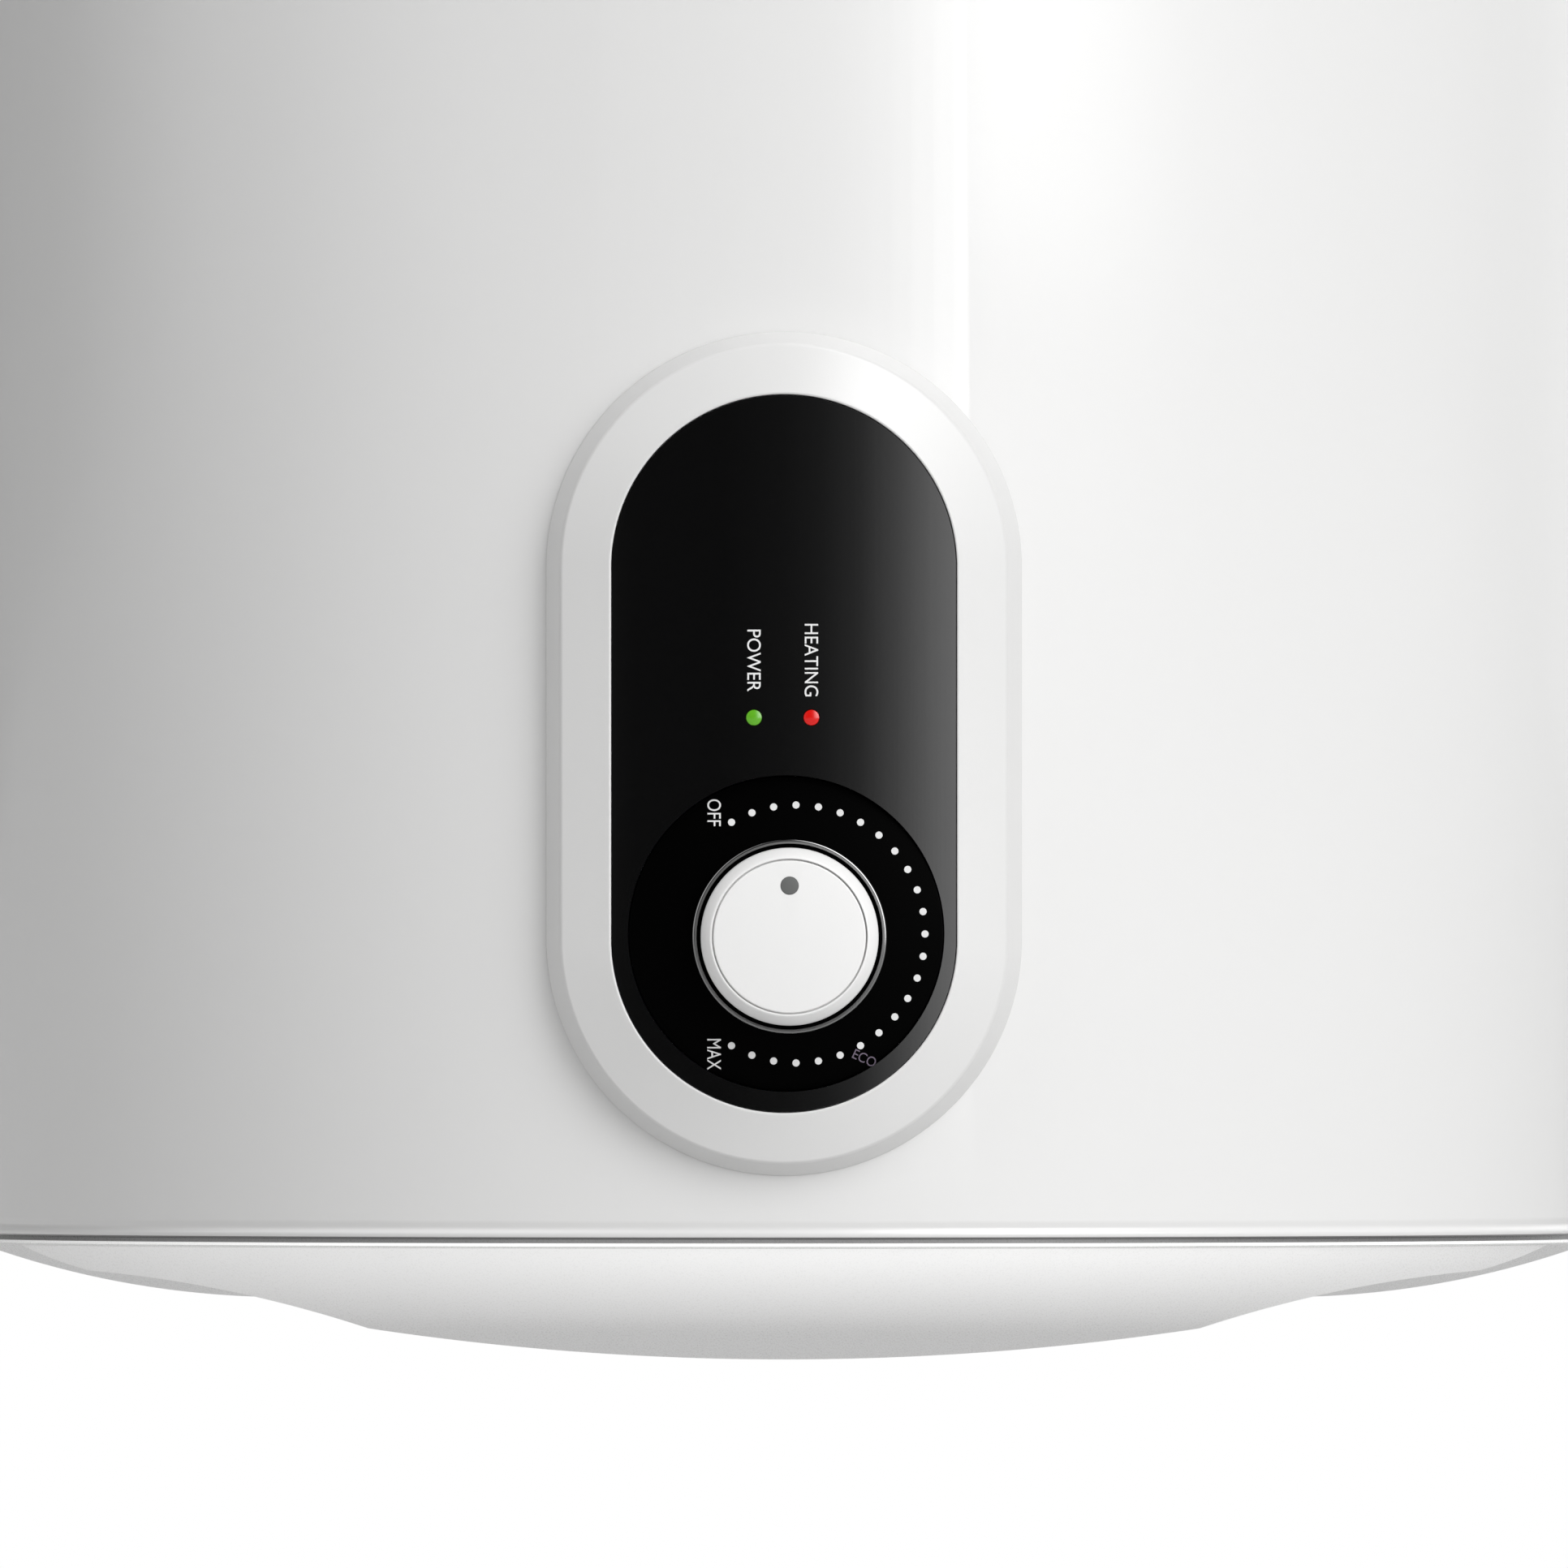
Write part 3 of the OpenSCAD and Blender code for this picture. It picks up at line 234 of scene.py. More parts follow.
def metal(level, tint, rough, grain_axis=(1, 1, 40), spots=0.0):
    """Drawn or rolled metal: a directional grain, and the spangle of zinc where spots is set."""
    def build(graph, place):
        stretched = graph.add("ShaderNodeMapping", {}, {"Vector": place, "Scale": grain_axis})
        grain = graph.noise(stretched, ROLLED_GRAIN, 4)
        cells = graph.add("ShaderNodeTexVoronoi", {}, {"Vector": place, "Scale": SPANGLE}, 1)
        spangle = graph.add("ShaderNodeSeparateColor", {}, {"Color": cells}, 0)
        stain = graph.noise(place, STAIN, 5)
        mixed = graph.mix(stain * 0.7 + spangle * spots, shade(level * 0.82, tint), shade(level * 1.1, tint))
        return {"Base Color": mixed, "Roughness": rough + 0.18 * grain + 0.1 * spots * spangle,
                "Normal": graph.bump(grain, 0.08, ROLL_DEPTH)}
    return build


def foamed(graph, place):
    """Rigid foam: pale cells under a swirled skin."""
    cells = graph.add("ShaderNodeTexVoronoi", {}, {"Vector": place, "Scale": FOAM_CELL})
    swirl = graph.noise(place, FOAM_SWIRL, 5)
    return {"Base Color": graph.mix(swirl, (0.80, 0.62, 0.30, 1), (0.88, 0.76, 0.47, 1)),
            "Roughness": 0.75 + 0.15 * cells, "Normal": graph.bump(cells, 0.5, CELL_DEPTH)}


def board_lacquer(graph, place):
    """Green lacquer over the copper tracks and the weave of a circuit board."""
    weave = graph.noise(place, BOARD_WEAVE, 2)
    tracks = graph.add("ShaderNodeTexBrick", {"offset": 0.5}, {
        "Vector": place, "Scale": BOARD_TRACK, "Color1": (0.01, 0.11, 0.035, 1), "Color2": (0.015, 0.16, 0.05, 1),
        "Mortar": (0.03, 0.24, 0.09, 1), "Mortar Size": 0.05})
    return {"Base Color": graph.mix(weave * 0.3, tracks, (0.01, 0.09, 0.03, 1)), "Roughness": 0.25 + 0.1 * weave}


def speckled(low, high, rough, scale=500):
    """Thermoset, rubber and sleeve: fine speckle between two colours."""
    def build(graph, place):
        fine = graph.noise(place, scale, 4)
        broad = graph.noise(place, scale / 20, 2)
        return {"Base Color": graph.mix(fine * 0.6 + broad * 0.4, (*low, 1), (*high, 1)),
                "Roughness": rough + 0.15 * fine, "Normal": graph.bump(fine, 0.15, GRAIN_DEPTH)}
    return build


def lens_glow(colour, bright, dark):
    """A tinted lens with fine flecks, lit from behind."""
    def build(graph, place):
        flecks = graph.noise(place, LENS_FLECK, 2)
        return {"Base Color": graph.mix(flecks, (*dark, 1), (*colour, 1)),
                "Roughness": 0.12 + 0.06 * flecks,
                "Emission Color": graph.mix(flecks, (*bright, 1), (*colour, 1))}
    return build


WARM_WHITE = (1, 0.998, 0.992)
NEUTRAL = (1, 1, 1)
EVEN_GRAIN = (1, 1, 1)
FINISHES = {
    # The band of millimetres given last on the casing and on the white moulding is painted shade in the joint
    # between them
    "casing_enamel": surface("casing_enamel", enamelled(0.80, WARM_WHITE, 0.22, shaded_band=(-1, 0.4)),
                             Coat_Weight=0.4, Coat_Roughness=0.08, IOR=1.5),
    # The white moulding's level of 0.96 is partly the plastic's own whiter tone and partly painted light, standing
    # in for light from below that brightens the lower cap
    "white_moulding": surface("white_moulding", moulded(0.96, WARM_WHITE, 0.24, shaded_band=(-1.05, 0.5)), IOR=1.5),
    "bezel_white": surface("bezel_white", moulded(0.745, WARM_WHITE, 0.2), IOR=1.5),
    "black_gloss": surface("black_gloss", enamelled(0.0012, (1, 1, 1.08), 0.04, 0.02),
                           IOR=1.5, Specular_IOR_Level=0.5),
    "black_satin": surface("black_satin", moulded(0.0004, NEUTRAL, 0.3), IOR=1.3, Specular_IOR_Level=0.05),
    "knob_white": surface("knob_white", moulded(0.86, WARM_WHITE, 0.30), IOR=1.5),
    "marker_grey": surface("marker_grey", moulded(0.13, (0.97, 1, 0.98), 0.45), IOR=1.45),
    "trim_chrome": surface("trim_chrome", metal(0.32, NEUTRAL, 0.04, EVEN_GRAIN), Metallic=1.0),
    "green_lens": surface("green_lens", lens_glow((0.11, 0.40, 0.015), (0.16, 0.52, 0.02), (0.08, 0.30, 0.01)),
                          Emission_Strength=0.15, Coat_Weight=0.15),
    "red_lens": surface("red_lens", lens_glow((0.62, 0.006, 0.003), (0.75, 0.01, 0.005), (0.5, 0.004, 0.003)),
                        Emission_Strength=0.2, Coat_Weight=0.15),
    "zinc_steel": surface("zinc_steel", metal(0.62, (0.98, 1, 1.02), 0.22, EVEN_GRAIN, 0.5), Metallic=1.0),
    "tank_steel": surface("tank_steel", speckled((0.03, 0.09, 0.2), (0.05, 0.14, 0.28), 0.12, 240),
                          Coat_Weight=0.8, Coat_Roughness=0.1),
    "foam": surface("foam", foamed, Specular_IOR_Level=0.25),
    "rubber_seal": surface("rubber_seal", speckled((0.012, 0.012, 0.012), (0.03, 0.03, 0.03), 0.6)),
    "copper": surface("copper", metal(0.72, (1.1, 0.56, 0.38), 0.2, (1, 1, 30)), Metallic=1.0),
    "brass": surface("brass", metal(0.74, (1.1, 0.84, 0.42), 0.18, (30, 1, 30)), Metallic=1.0),
    "magnesium": surface("magnesium", metal(0.5, (1, 1, 1.02), 0.5, (1, 1, 6)), Metallic=0.85),
    "pipe_steel": surface("pipe_steel", metal(0.55, (1, 1, 1.02), 0.24, (1, 1, 30)), Metallic=1.0),
    "blue_collar": surface("blue_collar", moulded(0.5, (0.04, 0.24, 1.1), 0.35)),
    "red_collar": surface("red_collar", moulded(0.6, (1.1, 0.035, 0.03), 0.35)),
    "gland_grey": surface("gland_grey", moulded(0.05, (1, 1, 1.08), 0.42)),
    "ivory_plastic": surface("ivory_plastic", speckled((0.66, 0.62, 0.5), (0.74, 0.71, 0.6), 0.35)),
    "brown_plastic": surface("brown_plastic", speckled((0.10, 0.045, 0.02), (0.17, 0.08, 0.04), 0.3)),
    "housing_plastic": surface("housing_plastic", moulded(0.6, NEUTRAL, 0.4)),
    "circuit_board": surface("circuit_board", board_lacquer, Coat_Weight=0.5),
    "wire_cover": surface("wire_cover", speckled((0.16, 0.05, 0.015), (0.22, 0.075, 0.03), 0.35, 900)),
    "wire_blue": surface("wire_blue", speckled((0.01, 0.05, 0.3), (0.02, 0.09, 0.42), 0.35, 900)),
    "wire_green": surface("wire_green", speckled((0.03, 0.3, 0.03), (0.6, 0.55, 0.03), 0.35, 900)),
    "button_red": surface("button_red", moulded(0.66, (1.05, 0.05, 0.04), 0.3)),
    "print_white": surface("print_white", moulded(0.8, NEUTRAL, 0.5), Specular_IOR_Level=0.2),
    "print_mauve": surface("print_mauve", moulded(0.16, (1.05, 0.85, 1.15), 0.5), Specular_IOR_Level=0.2),
}
for part in frame["record"]["subparts"]:
    slots = frame["nodes"][part["node"]].data.materials
    slots.clear()
    slots.append(FINISHES[part["material_slot"]])


# ---------- Camera, light and floor ----------

# A level view from far off, its middle above the casing's lower edge
VIEW_HEIGHT = 0.1063
FRAME_WIDTH = 0.3661
LENS, SENSOR = 1500, 36
DISTANCE = FRAME_WIDTH * LENS / SENSOR
CLIP_NEAR, CLIP_FAR = 1, 100

eye = bpy.data.cameras.new("camera")
eye.lens, eye.sensor_width = LENS, SENSOR
eye.clip_start, eye.clip_end = CLIP_NEAR, CLIP_FAR
camera = bpy.data.objects.new("camera", eye)
camera.location = (0, AXIS_Y - CASING_R - DISTANCE, SEAM_Z + VIEW_HEIGHT)
camera.rotation_euler = (pi / 2, 0, 0)
scene.collection.objects.link(camera)
scene.camera = camera

# The studio's ring of soft light: (bearing in degrees, brightness), from behind, over the left, to the front
# at 0, and on over the right
RING = [(-180, 0.6), (-150, 0.2), (-120, 0.08), (-105, 0.3), (-90, 0.62), (-75, 0.55), (-60, 0.66), (-45, 0.62),
        (-30, 0.15), (-20, 0.05), (-8, 0.05), (0, 0.09), (5, 0.16), (10, 0.36), (15, 0.95), (20, 2.0), (30, 4.0),
        (45, 2.8), (60, 0.85), (75, 0.3), (90, 0.15), (120, 0.3), (150, 0.8), (180, 0.6)]
RING_PEAK = 4.0
SKY_LEVEL = 1.27
SKY_GAIN = 0.8
ZENITH_LOSS = 1.2
WHITE = (1, 1, 1, 1)

scene.world = bpy.data.worlds.new("studio")
scene.world.use_nodes = True
sky = Graph(scene.world.node_tree)
heading = sky.add("ShaderNodeTexCoord", {}, {}, 0)
parts = sky.node("ShaderNodeSeparateXYZ", {}, {"Vector": heading})
east, north, up = (Sock(sky, parts.outputs[i]) for i in range(3))
bearing = sky.add("ShaderNodeMath", {"operation": "ARCTAN2"}, {0: east, 1: 0 - north}) / (2 * pi) + 0.5
ring = sky.ramp(bearing, *[(0.5 + angle / 360, v / RING_PEAK) for angle, v in RING])
ring_level = sky.add("ShaderNodeSeparateColor", {}, {"Color": ring}) * (RING_PEAK * SKY_LEVEL)
level = ring_level * (1 + SKY_GAIN * up - ZENITH_LOSS * (up > 0) * (up * up * up))
seen = sky.add("ShaderNodeLightPath")
light = sky.add("ShaderNodeBackground", {}, {"Color": WHITE, "Strength": level})
backdrop = sky.add("ShaderNodeBackground", {}, {"Color": WHITE, "Strength": 1.0})
blend = sky.add("ShaderNodeMixShader", {}, {0: seen, 1: light, 2: backdrop})
sky.node("ShaderNodeOutputWorld", {}, {"Surface": blend})

FLOOR_DROP = 0.35
FLOOR_R = 14.0
FLOOR_DARK, FLOOR_LIGHT = 0.54, 0.58


def mesh_of(bm, name):
    mesh = bpy.data.meshes.new(name)
    bm.to_mesh(mesh)
    bm.free()
    return mesh


def placed(name, mesh):
    thing = bpy.data.objects.new(name, mesh)
    scene.collection.objects.link(thing)
    return thing


disc = bmesh.new()
bmesh.ops.create_circle(disc, cap_ends=True, segments=128, radius=FLOOR_R)
bmesh.ops.translate(disc, vec=(0, AXIS_Y, cad_low.z - FLOOR_DROP), verts=disc.verts)
floor = placed("floor", mesh_of(disc, "floor"))
floor.data.materials.append(surface("floor_paint", lambda graph, place: {
    "Base Color": graph.mix(graph.noise(place, 2), shade(FLOOR_DARK), shade(FLOOR_LIGHT)),
    "Roughness": 0.7 + 0.1 * graph.noise(place, 5)}))

# A panel light in front that reaches only the lower cap
FILL_POWER = 25
FILL_WIDE, FILL_TALL = 2.4, 0.3
FILL_X, FILL_Y, FILL_UP = -0.5, -2.6, 0.45
FILL_TILT, FILL_TURN = 0.18, -0.2
fill = bpy.data.lights.new("low_fill", "AREA")
fill.shape, fill.size, fill.size_y, fill.energy = "RECTANGLE", FILL_WIDE, FILL_TALL, FILL_POWER
fill_light = bpy.data.objects.new("low_fill", fill)
fill_light.location = (FILL_X, FILL_Y, cad_low.z + FILL_UP)
fill_light.rotation_euler = (pi / 2 - FILL_TILT, 0, FILL_TURN)
scene.collection.objects.link(fill_light)
lit = bpy.data.collections.new("lit_by_low_fill")
lit.objects.link(frame["nodes"]["lower_cap"])
fill_light.light_linking.receiver_collection = lit

# ---------- Making pieces ----------

MERGE, TOOL_MERGE = 1e-6, 2e-6

def finished(name, bm, finish, stands_for=(), body="heater", sharp=32, bevel=0, segments=2):
    """Turns a bmesh into a piece that rides on its body and stands for the CAD nodes named."""
    thing = placed(name, mesh_of(bm, name))
    thing.data.materials.append(FINISHES[finish])
    thing.data.shade_smooth()
    if bevel:
        rounding = thing.modifiers.new("rounded_edges", "BEVEL")
        rounding.width, rounding.segments = bevel * MM, segments
        rounding.limit_method, rounding.angle_limit = "ANGLE", radians(sharp)
        rounding.harden_normals = True
        rounding.use_clamp_overlap = True
    thing.data.set_sharp_from_angle(angle=radians(sharp))
    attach(thing, body)
    if stands_for:
        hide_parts(*stands_for)
    return thing


def spun(profile, segments=96, place=Matrix(), closed=True):
    """A turned shape from (radius, height) points in millimetres, about the place's own Z."""
    bm = bmesh.new()
    verts = [bm.verts.new((r * MM, 0, z * MM)) for r, z in profile]
    edges = [bm.edges.new(pair) for pair in zip(verts, verts[1:])]
    if closed:
        edges.append(bm.edges.new((verts[-1], verts[0])))
    bmesh.ops.spin(bm, geom=verts + edges, axis=(0, 0, 1), cent=(0, 0, 0), angle=2 * pi, steps=segments,
                   use_merge=True)
    bmesh.ops.remove_doubles(bm, verts=bm.verts, dist=1e-6)
    bmesh.ops.dissolve_degenerate(bm, edges=bm.edges, dist=1e-7)
    bmesh.ops.recalc_face_normals(bm, faces=bm.faces)
    bmesh.ops.transform(bm, matrix=place, verts=bm.verts)
    return bm


def arc(cx, cz, r, a0, a1, steps=6):
    """Points of a round corner in a profile, by angle in degrees from straight out."""
    turn = [radians(a0 + (a1 - a0) * i / steps) for i in range(steps + 1)]
    return [(cx + r * cos(a), cz + r * sin(a)) for a in turn]


def column(r, z0, z1, place, segments=96):
    """A solid cylinder along the place's own Z."""
    return spun([(0, z0), (r, z0), (r, z1), (0, z1)], segments, place, closed=False)


def slab(x0, x1, y0, y1, z0, z1, place=heater_axis):
    """A block between three pairs of faces, in millimetres from the place."""
    bm = bmesh.new()
    size = Matrix.Diagonal(((x1 - x0) * MM, (y1 - y0) * MM, (z1 - z0) * MM, 1))
    middle = Matrix.Translation(((x0 + x1) / 2 * MM, (y0 + y1) / 2 * MM, (z0 + z1) / 2 * MM))
    bmesh.ops.create_cube(bm, size=1, matrix=place @ middle @ size)
    return bm


def combined(*shapes):
    """Several bmeshes as one."""
    total = bmesh.new()
    for bm in shapes:
        mesh = mesh_of(bm, "part")
        total.from_mesh(mesh)
        bpy.data.meshes.remove(mesh)
    return total


def carved(bm, *tools, operation="DIFFERENCE"):
    """The shape less each tool, or what it shares with it."""
    thing = placed("work", mesh_of(bm, "work"))
    helpers = [placed("tool", mesh_of(tool, "tool")) for tool in tools]
    for helper in helpers:
        step = thing.modifiers.new("cut", "BOOLEAN")
        step.operation, step.object, step.solver = operation, helper, "EXACT"
    shape = bmesh.new()
    shape.from_object(thing, bpy.context.evaluated_depsgraph_get())
    bmesh.ops.remove_doubles(shape, verts=shape.verts, dist=TOOL_MERGE)
    bmesh.ops.dissolve_degenerate(shape, edges=shape.edges, dist=MERGE)
    for used in [thing] + helpers:
        mesh = used.data
        bpy.data.objects.remove(used)
        bpy.data.meshes.remove(mesh)
    return shape


def softened(node, finish, bevel, body="heater", sharp=35):
    """A CAD node's own shape, merged and given rounded edges."""
    bm = bmesh.new()
    bm.from_mesh(frame["nodes"][node].data)
    bmesh.ops.remove_doubles(bm, verts=bm.verts, dist=MERGE)
    bmesh.ops.dissolve_limit(bm, angle_limit=radians(1), verts=bm.verts, edges=bm.edges)
    return finished(node + "_finished", bm, finish, (node,), body, sharp, bevel)


# ---------- Casing ----------

# Millimetres from the heater's axis and from the casing's lower edge
R = CASING_R / MM
H = CASING_H / MM
SHEET = 0.8
HEM_H = 4.4

panel_low, panel_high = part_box("fascia")
PANEL_Z = ((panel_low.z + panel_high.z) / 2 - SEAM_Z) / MM
FASCIA_HALF = half_width("fascia") / MM
SPINE = (panel_high.z - panel_low.z) / MM - 2 * FASCIA_HALF
FASCIA_R = depth_of("fascia")[1] / MM


def hem(sign, z):
    """Rolled edge of the sheet, from the wall to its inner face, at the lower (1) or upper (-1) end."""
    points = [(R, HEM_H), (R - 0.14, 3.6), (R - 0.45, 2.9), (R - 0.55, 2.4), (R - 0.42, 2.0), (R - 0.1, 1.6),
              (R, 1.3), (R - 0.05, 0.8), (R - 0.25, 0.35), (R - 0.55, 0.08), (R - 0.85, 0.15), (R - 1.0, 0.5),
              (R - SHEET - 0.1, 1.6), (R - SHEET, HEM_H)]
    return [(r, z + sign * h) for r, h in points][::sign]


def stadium_column(half, s0, s1):
    """Upright column with round ends, from depth s0 to s1 of the panel."""
    bm = bmesh.new()
    bmesh.ops.create_circle(bm, cap_ends=True, segments=96, radius=half * MM,
                            matrix=Matrix.Rotation(pi / 96, 4, "Z"))
    for v in bm.verts:
        v.co.y += (SPINE / 2 if v.co.y > 0 else -SPINE / 2) * MM
    grown = bmesh.ops.extrude_face_region(bm, geom=bm.faces[:])["geom"]
    outer = [g for g in grown if isinstance(g, bmesh.types.BMVert)]
    bmesh.ops.translate(bm, vec=(0, 0, (s1 - s0) * MM), verts=outer)
    bmesh.ops.recalc_face_normals(bm, faces=bm.faces)
    front = heater_axis @ Matrix.Translation((0, 0, PANEL_Z * MM)) @ Matrix.Rotation(pi / 2, 4, "X")
    bmesh.ops.transform(bm, matrix=front @ Matrix.Translation((0, 0, s0 * MM)), verts=bm.verts)
    return bm


SLOT_CLEAR, SLOT_HALF = 0.5, 2
SLOT_FROM, SLOT_TO = 100, 230
ARM_X = {"upper_wall_bracket": 60, "lower_wall_bracket": 30}


def bracket_slots(node):
    """Two slots in the sheet for a bracket's arms."""
    low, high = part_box(node)
    z0, z1 = (low.z - SEAM_Z) / MM - SLOT_CLEAR, (high.z - SEAM_Z) / MM + SLOT_CLEAR
    return [slab(side * ARM_X[node] - SLOT_HALF, side * ARM_X[node] + SLOT_HALF, SLOT_FROM, SLOT_TO, z0, z1)
            for side in (-1, 1)]


PANEL_CLEAR, TOOL_REACH = 2.85, 20
sheet = spun(hem(1, 0) + hem(-1, H), 240, heater_axis)
cuts = bracket_slots("upper_wall_bracket") + bracket_slots("lower_wall_bracket")
sheet = carved(sheet, stadium_column(FASCIA_HALF + PANEL_CLEAR, R - TOOL_REACH, R + TOOL_REACH), *cuts)
SEAM_W, SEAM_OUT = 10, (shell_high.y - AXIS_Y) / MM
SEAM_SUNK, SEAM_SHORT, SEAM_ROUND = 0.5, 0.6, 0.5
lock = slab(-SEAM_W / 2, SEAM_W / 2, R - SEAM_SUNK, SEAM_OUT, SEAM_SHORT, H - SEAM_SHORT)
upright = [e for e in lock.edges if abs(e.verts[0].co.z - e.verts[1].co.z) > 0.1]
bmesh.ops.bevel(lock, geom=upright, offset=SEAM_ROUND * MM, segments=3, profile=0.5, affect="EDGES", material=-1)
finished("casing_sheet", combined(sheet, lock), "casing_enamel", ("outer_casing",), sharp=40)

# ---------- Top cap ----------

CAP_R = half_width("top_cap") / MM
CAP_WALL = 2.5
RIM_Z = H + 0.8
DOME_H = (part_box("top_cap")[1].z - SEAM_Z) / MM - RIM_Z
DOME_CORNER = 20.02


def dome(inset):
    """Half profile of the top cap's dome, from its rim to its crown."""
    foot = CAP_R - DOME_CORNER
    crown = (foot ** 2 + DOME_H ** 2 - DOME_CORNER ** 2) / (2 * (DOME_H - DOME_CORNER))
    lean = asin(foot / (crown - DOME_CORNER))
    corner = arc(foot, RIM_Z, DOME_CORNER - inset, 0, 90 - lean * 180 / pi, 10)
    top = [((crown - inset) * sin(a), RIM_Z + DOME_H - crown + (crown - inset) * cos(a))
           for a in [lean * (1 - i / 12) for i in range(1, 13)]]
    return corner + top


SPIGOT_R = R - SHEET - 0.6
SPIGOT_Z = H - 10
cap_profile = (dome(0) + dome(CAP_WALL)[::-1] + [(SPIGOT_R - CAP_WALL, RIM_Z + 1), (SPIGOT_R - CAP_WALL, SPIGOT_Z),
               (SPIGOT_R, SPIGOT_Z), (SPIGOT_R, RIM_Z + 0.1), (CAP_R - 0.3, RIM_Z)])
finished("top_cap_cover", spun(cap_profile, 192, heater_axis), "white_moulding", ("top_cap",), sharp=40)

# ---------- Control panel ----------

BEZEL_R = R + 12
RISE_R = R + 8
FACE_HALF = FASCIA_HALF + 12.05
BORE_HALF = FASCIA_HALF + 0.2
LEDGE_HALF = BORE_HALF - 2.7
FASCIA_T = 2.5
BEZEL_T = 2.2
FOOT_OUT = 0.1
DRAFT = tan(radians(21))
ROUND_STEPS = 128


def foot_half(a):
    """Half width of the drafted wall's foot, in the direction a round an end."""
    half = FACE_HALF
    for _ in range(4):
        rise = sqrt(RISE_R ** 2 - (FACE_HALF * cos(a)) ** 2) - sqrt(R ** 2 - (half * cos(a)) ** 2)
        half = FACE_HALF + rise * DRAFT
    return half


def bezel_ring():
    """The bezel, ring by ring: each is the stadium outline at its own offset, laid on its own cylinder."""
    rings = [(foot_half, R + FOOT_OUT), (lambda a: FACE_HALF, RISE_R), (lambda a: BORE_HALF + 1.1, BEZEL_R - 0.35),
             (lambda a: BORE_HALF, BEZEL_R), (lambda a: BORE_HALF, FASCIA_R - FASCIA_T),
             (lambda a: LEDGE_HALF, FASCIA_R - FASCIA_T), (lambda a: LEDGE_HALF, RISE_R - BEZEL_T),
             (lambda a: FACE_HALF - 3.2, RISE_R - BEZEL_T), (lambda a: foot_half(a) - 2.6, R + FOOT_OUT)]
    bm = bmesh.new()
    bmesh.ops.create_circle(bm, segments=ROUND_STEPS, radius=1, matrix=Matrix.Rotation(pi / ROUND_STEPS, 4, "Z"))
    angles = {v: atan2(v.co.y, v.co.x) for v in bm.verts}

    def lay(half_of, r):
        for v, a in angles.items():
            half = half_of(a)
            x = half * cos(a)
            z = PANEL_Z + (SPINE / 2 if a > 0 else -SPINE / 2) + half * sin(a)
            v.co = (x * MM, AXIS_Y - sqrt(r * r - x * x) * MM, SEAM_Z + z * MM)

    lay(*rings[0])
    first = loop = bm.edges[:]
    for ring in rings[1:]:
        before = {v.co.to_tuple(7): a for v, a in angles.items()}
        grown = bmesh.ops.extrude_edge_only(bm, edges=loop)["geom"]
        angles = {g: before[g.co.to_tuple(7)] for g in grown if isinstance(g, bmesh.types.BMVert)}
        loop = [g for g in grown if isinstance(g, bmesh.types.BMEdge)]
        lay(*ring)
    bmesh.ops.bridge_loops(bm, edges=first + loop)
    bmesh.ops.recalc_face_normals(bm, faces=bm.faces)
    return bm


finished("bezel_frame", bezel_ring(), "bezel_white", ("bezel",), sharp=26, bevel=0.7, segments=3)

DIAL = on_front("dial_plate")
DIAL_HALF = half_width("dial_plate") / MM
DIAL_BACK, DIAL_FRONT = (s / MM for s in depth_of("dial_plate"))
DIAL_CLEAR = 0.2
LENS_R = 2.0
BLANK = 1.1


def curved_slab(half, r_in, r_out):
    """The fascia's blank: a panel bent round the heater's axis, larger than its outline."""
    bm = bmesh.new()
    bmesh.ops.create_grid(bm, x_segments=96, y_segments=1, size=1)
    tall = (SPINE / 2 + half) * MM * BLANK
    faces = bm.faces[:]
    for v in bm.verts:
        v.co = (v.co.x * half * BLANK * MM, 0, v.co.y * tall)
    grown = bmesh.ops.extrude_face_region(bm, geom=faces)["geom"]
    outer = {g for g in grown if isinstance(g, bmesh.types.BMVert)}
    for v in bm.verts:
        r = (r_out if v in outer else r_in) * MM
        v.co = (v.co.x, AXIS_Y - sqrt(r * r - v.co.x ** 2), v.co.z + SEAM_Z + PANEL_Z * MM)
    bmesh.ops.recalc_face_normals(bm, faces=bm.faces)
    return bm


lens_places = [on_front(node) for node in ("power_lens", "heating_lens")]
PAST_PANEL = R + 30
panel = carved(curved_slab(FASCIA_HALF, FASCIA_R - FASCIA_T, FASCIA_R), stadium_column(FASCIA_HALF, R, PAST_PANEL),
               operation="INTERSECT")
panel = carved(panel, column(DIAL_HALF + DIAL_CLEAR, R, PAST_PANEL, DIAL, ROUND_STEPS),
               *[column(LENS_R, R, PAST_PANEL, place, 48) for place in lens_places])
finished("fascia_panel", panel, "black_gloss", ("fascia",), sharp=30)

DIAL_EDGE = 0.3
plate = spun([(0, DIAL_BACK), (DIAL_HALF, DIAL_BACK)]
             + arc(DIAL_HALF - DIAL_EDGE, DIAL_FRONT - DIAL_EDGE, DIAL_EDGE, 0, 90, 3)
             + [(0, DIAL_FRONT)], ROUND_STEPS, DIAL, closed=False)
finished("dial_disc", plate, "black_satin", ("dial_plate",), sharp=40)

# Well of the fascia round the dial disc
well_in, well_out = DIAL_HALF + DIAL_CLEAR, DIAL_HALF + 1.2
well_foot, well_top = DIAL_BACK + 0.2, DIAL_BACK + 1
finished("dial_well", spun([(well_in, well_foot), (well_out, well_foot), (well_out, well_top), (well_in, well_top)],
                           96, DIAL), "black_gloss")

# ---------- Scale and lettering ----------

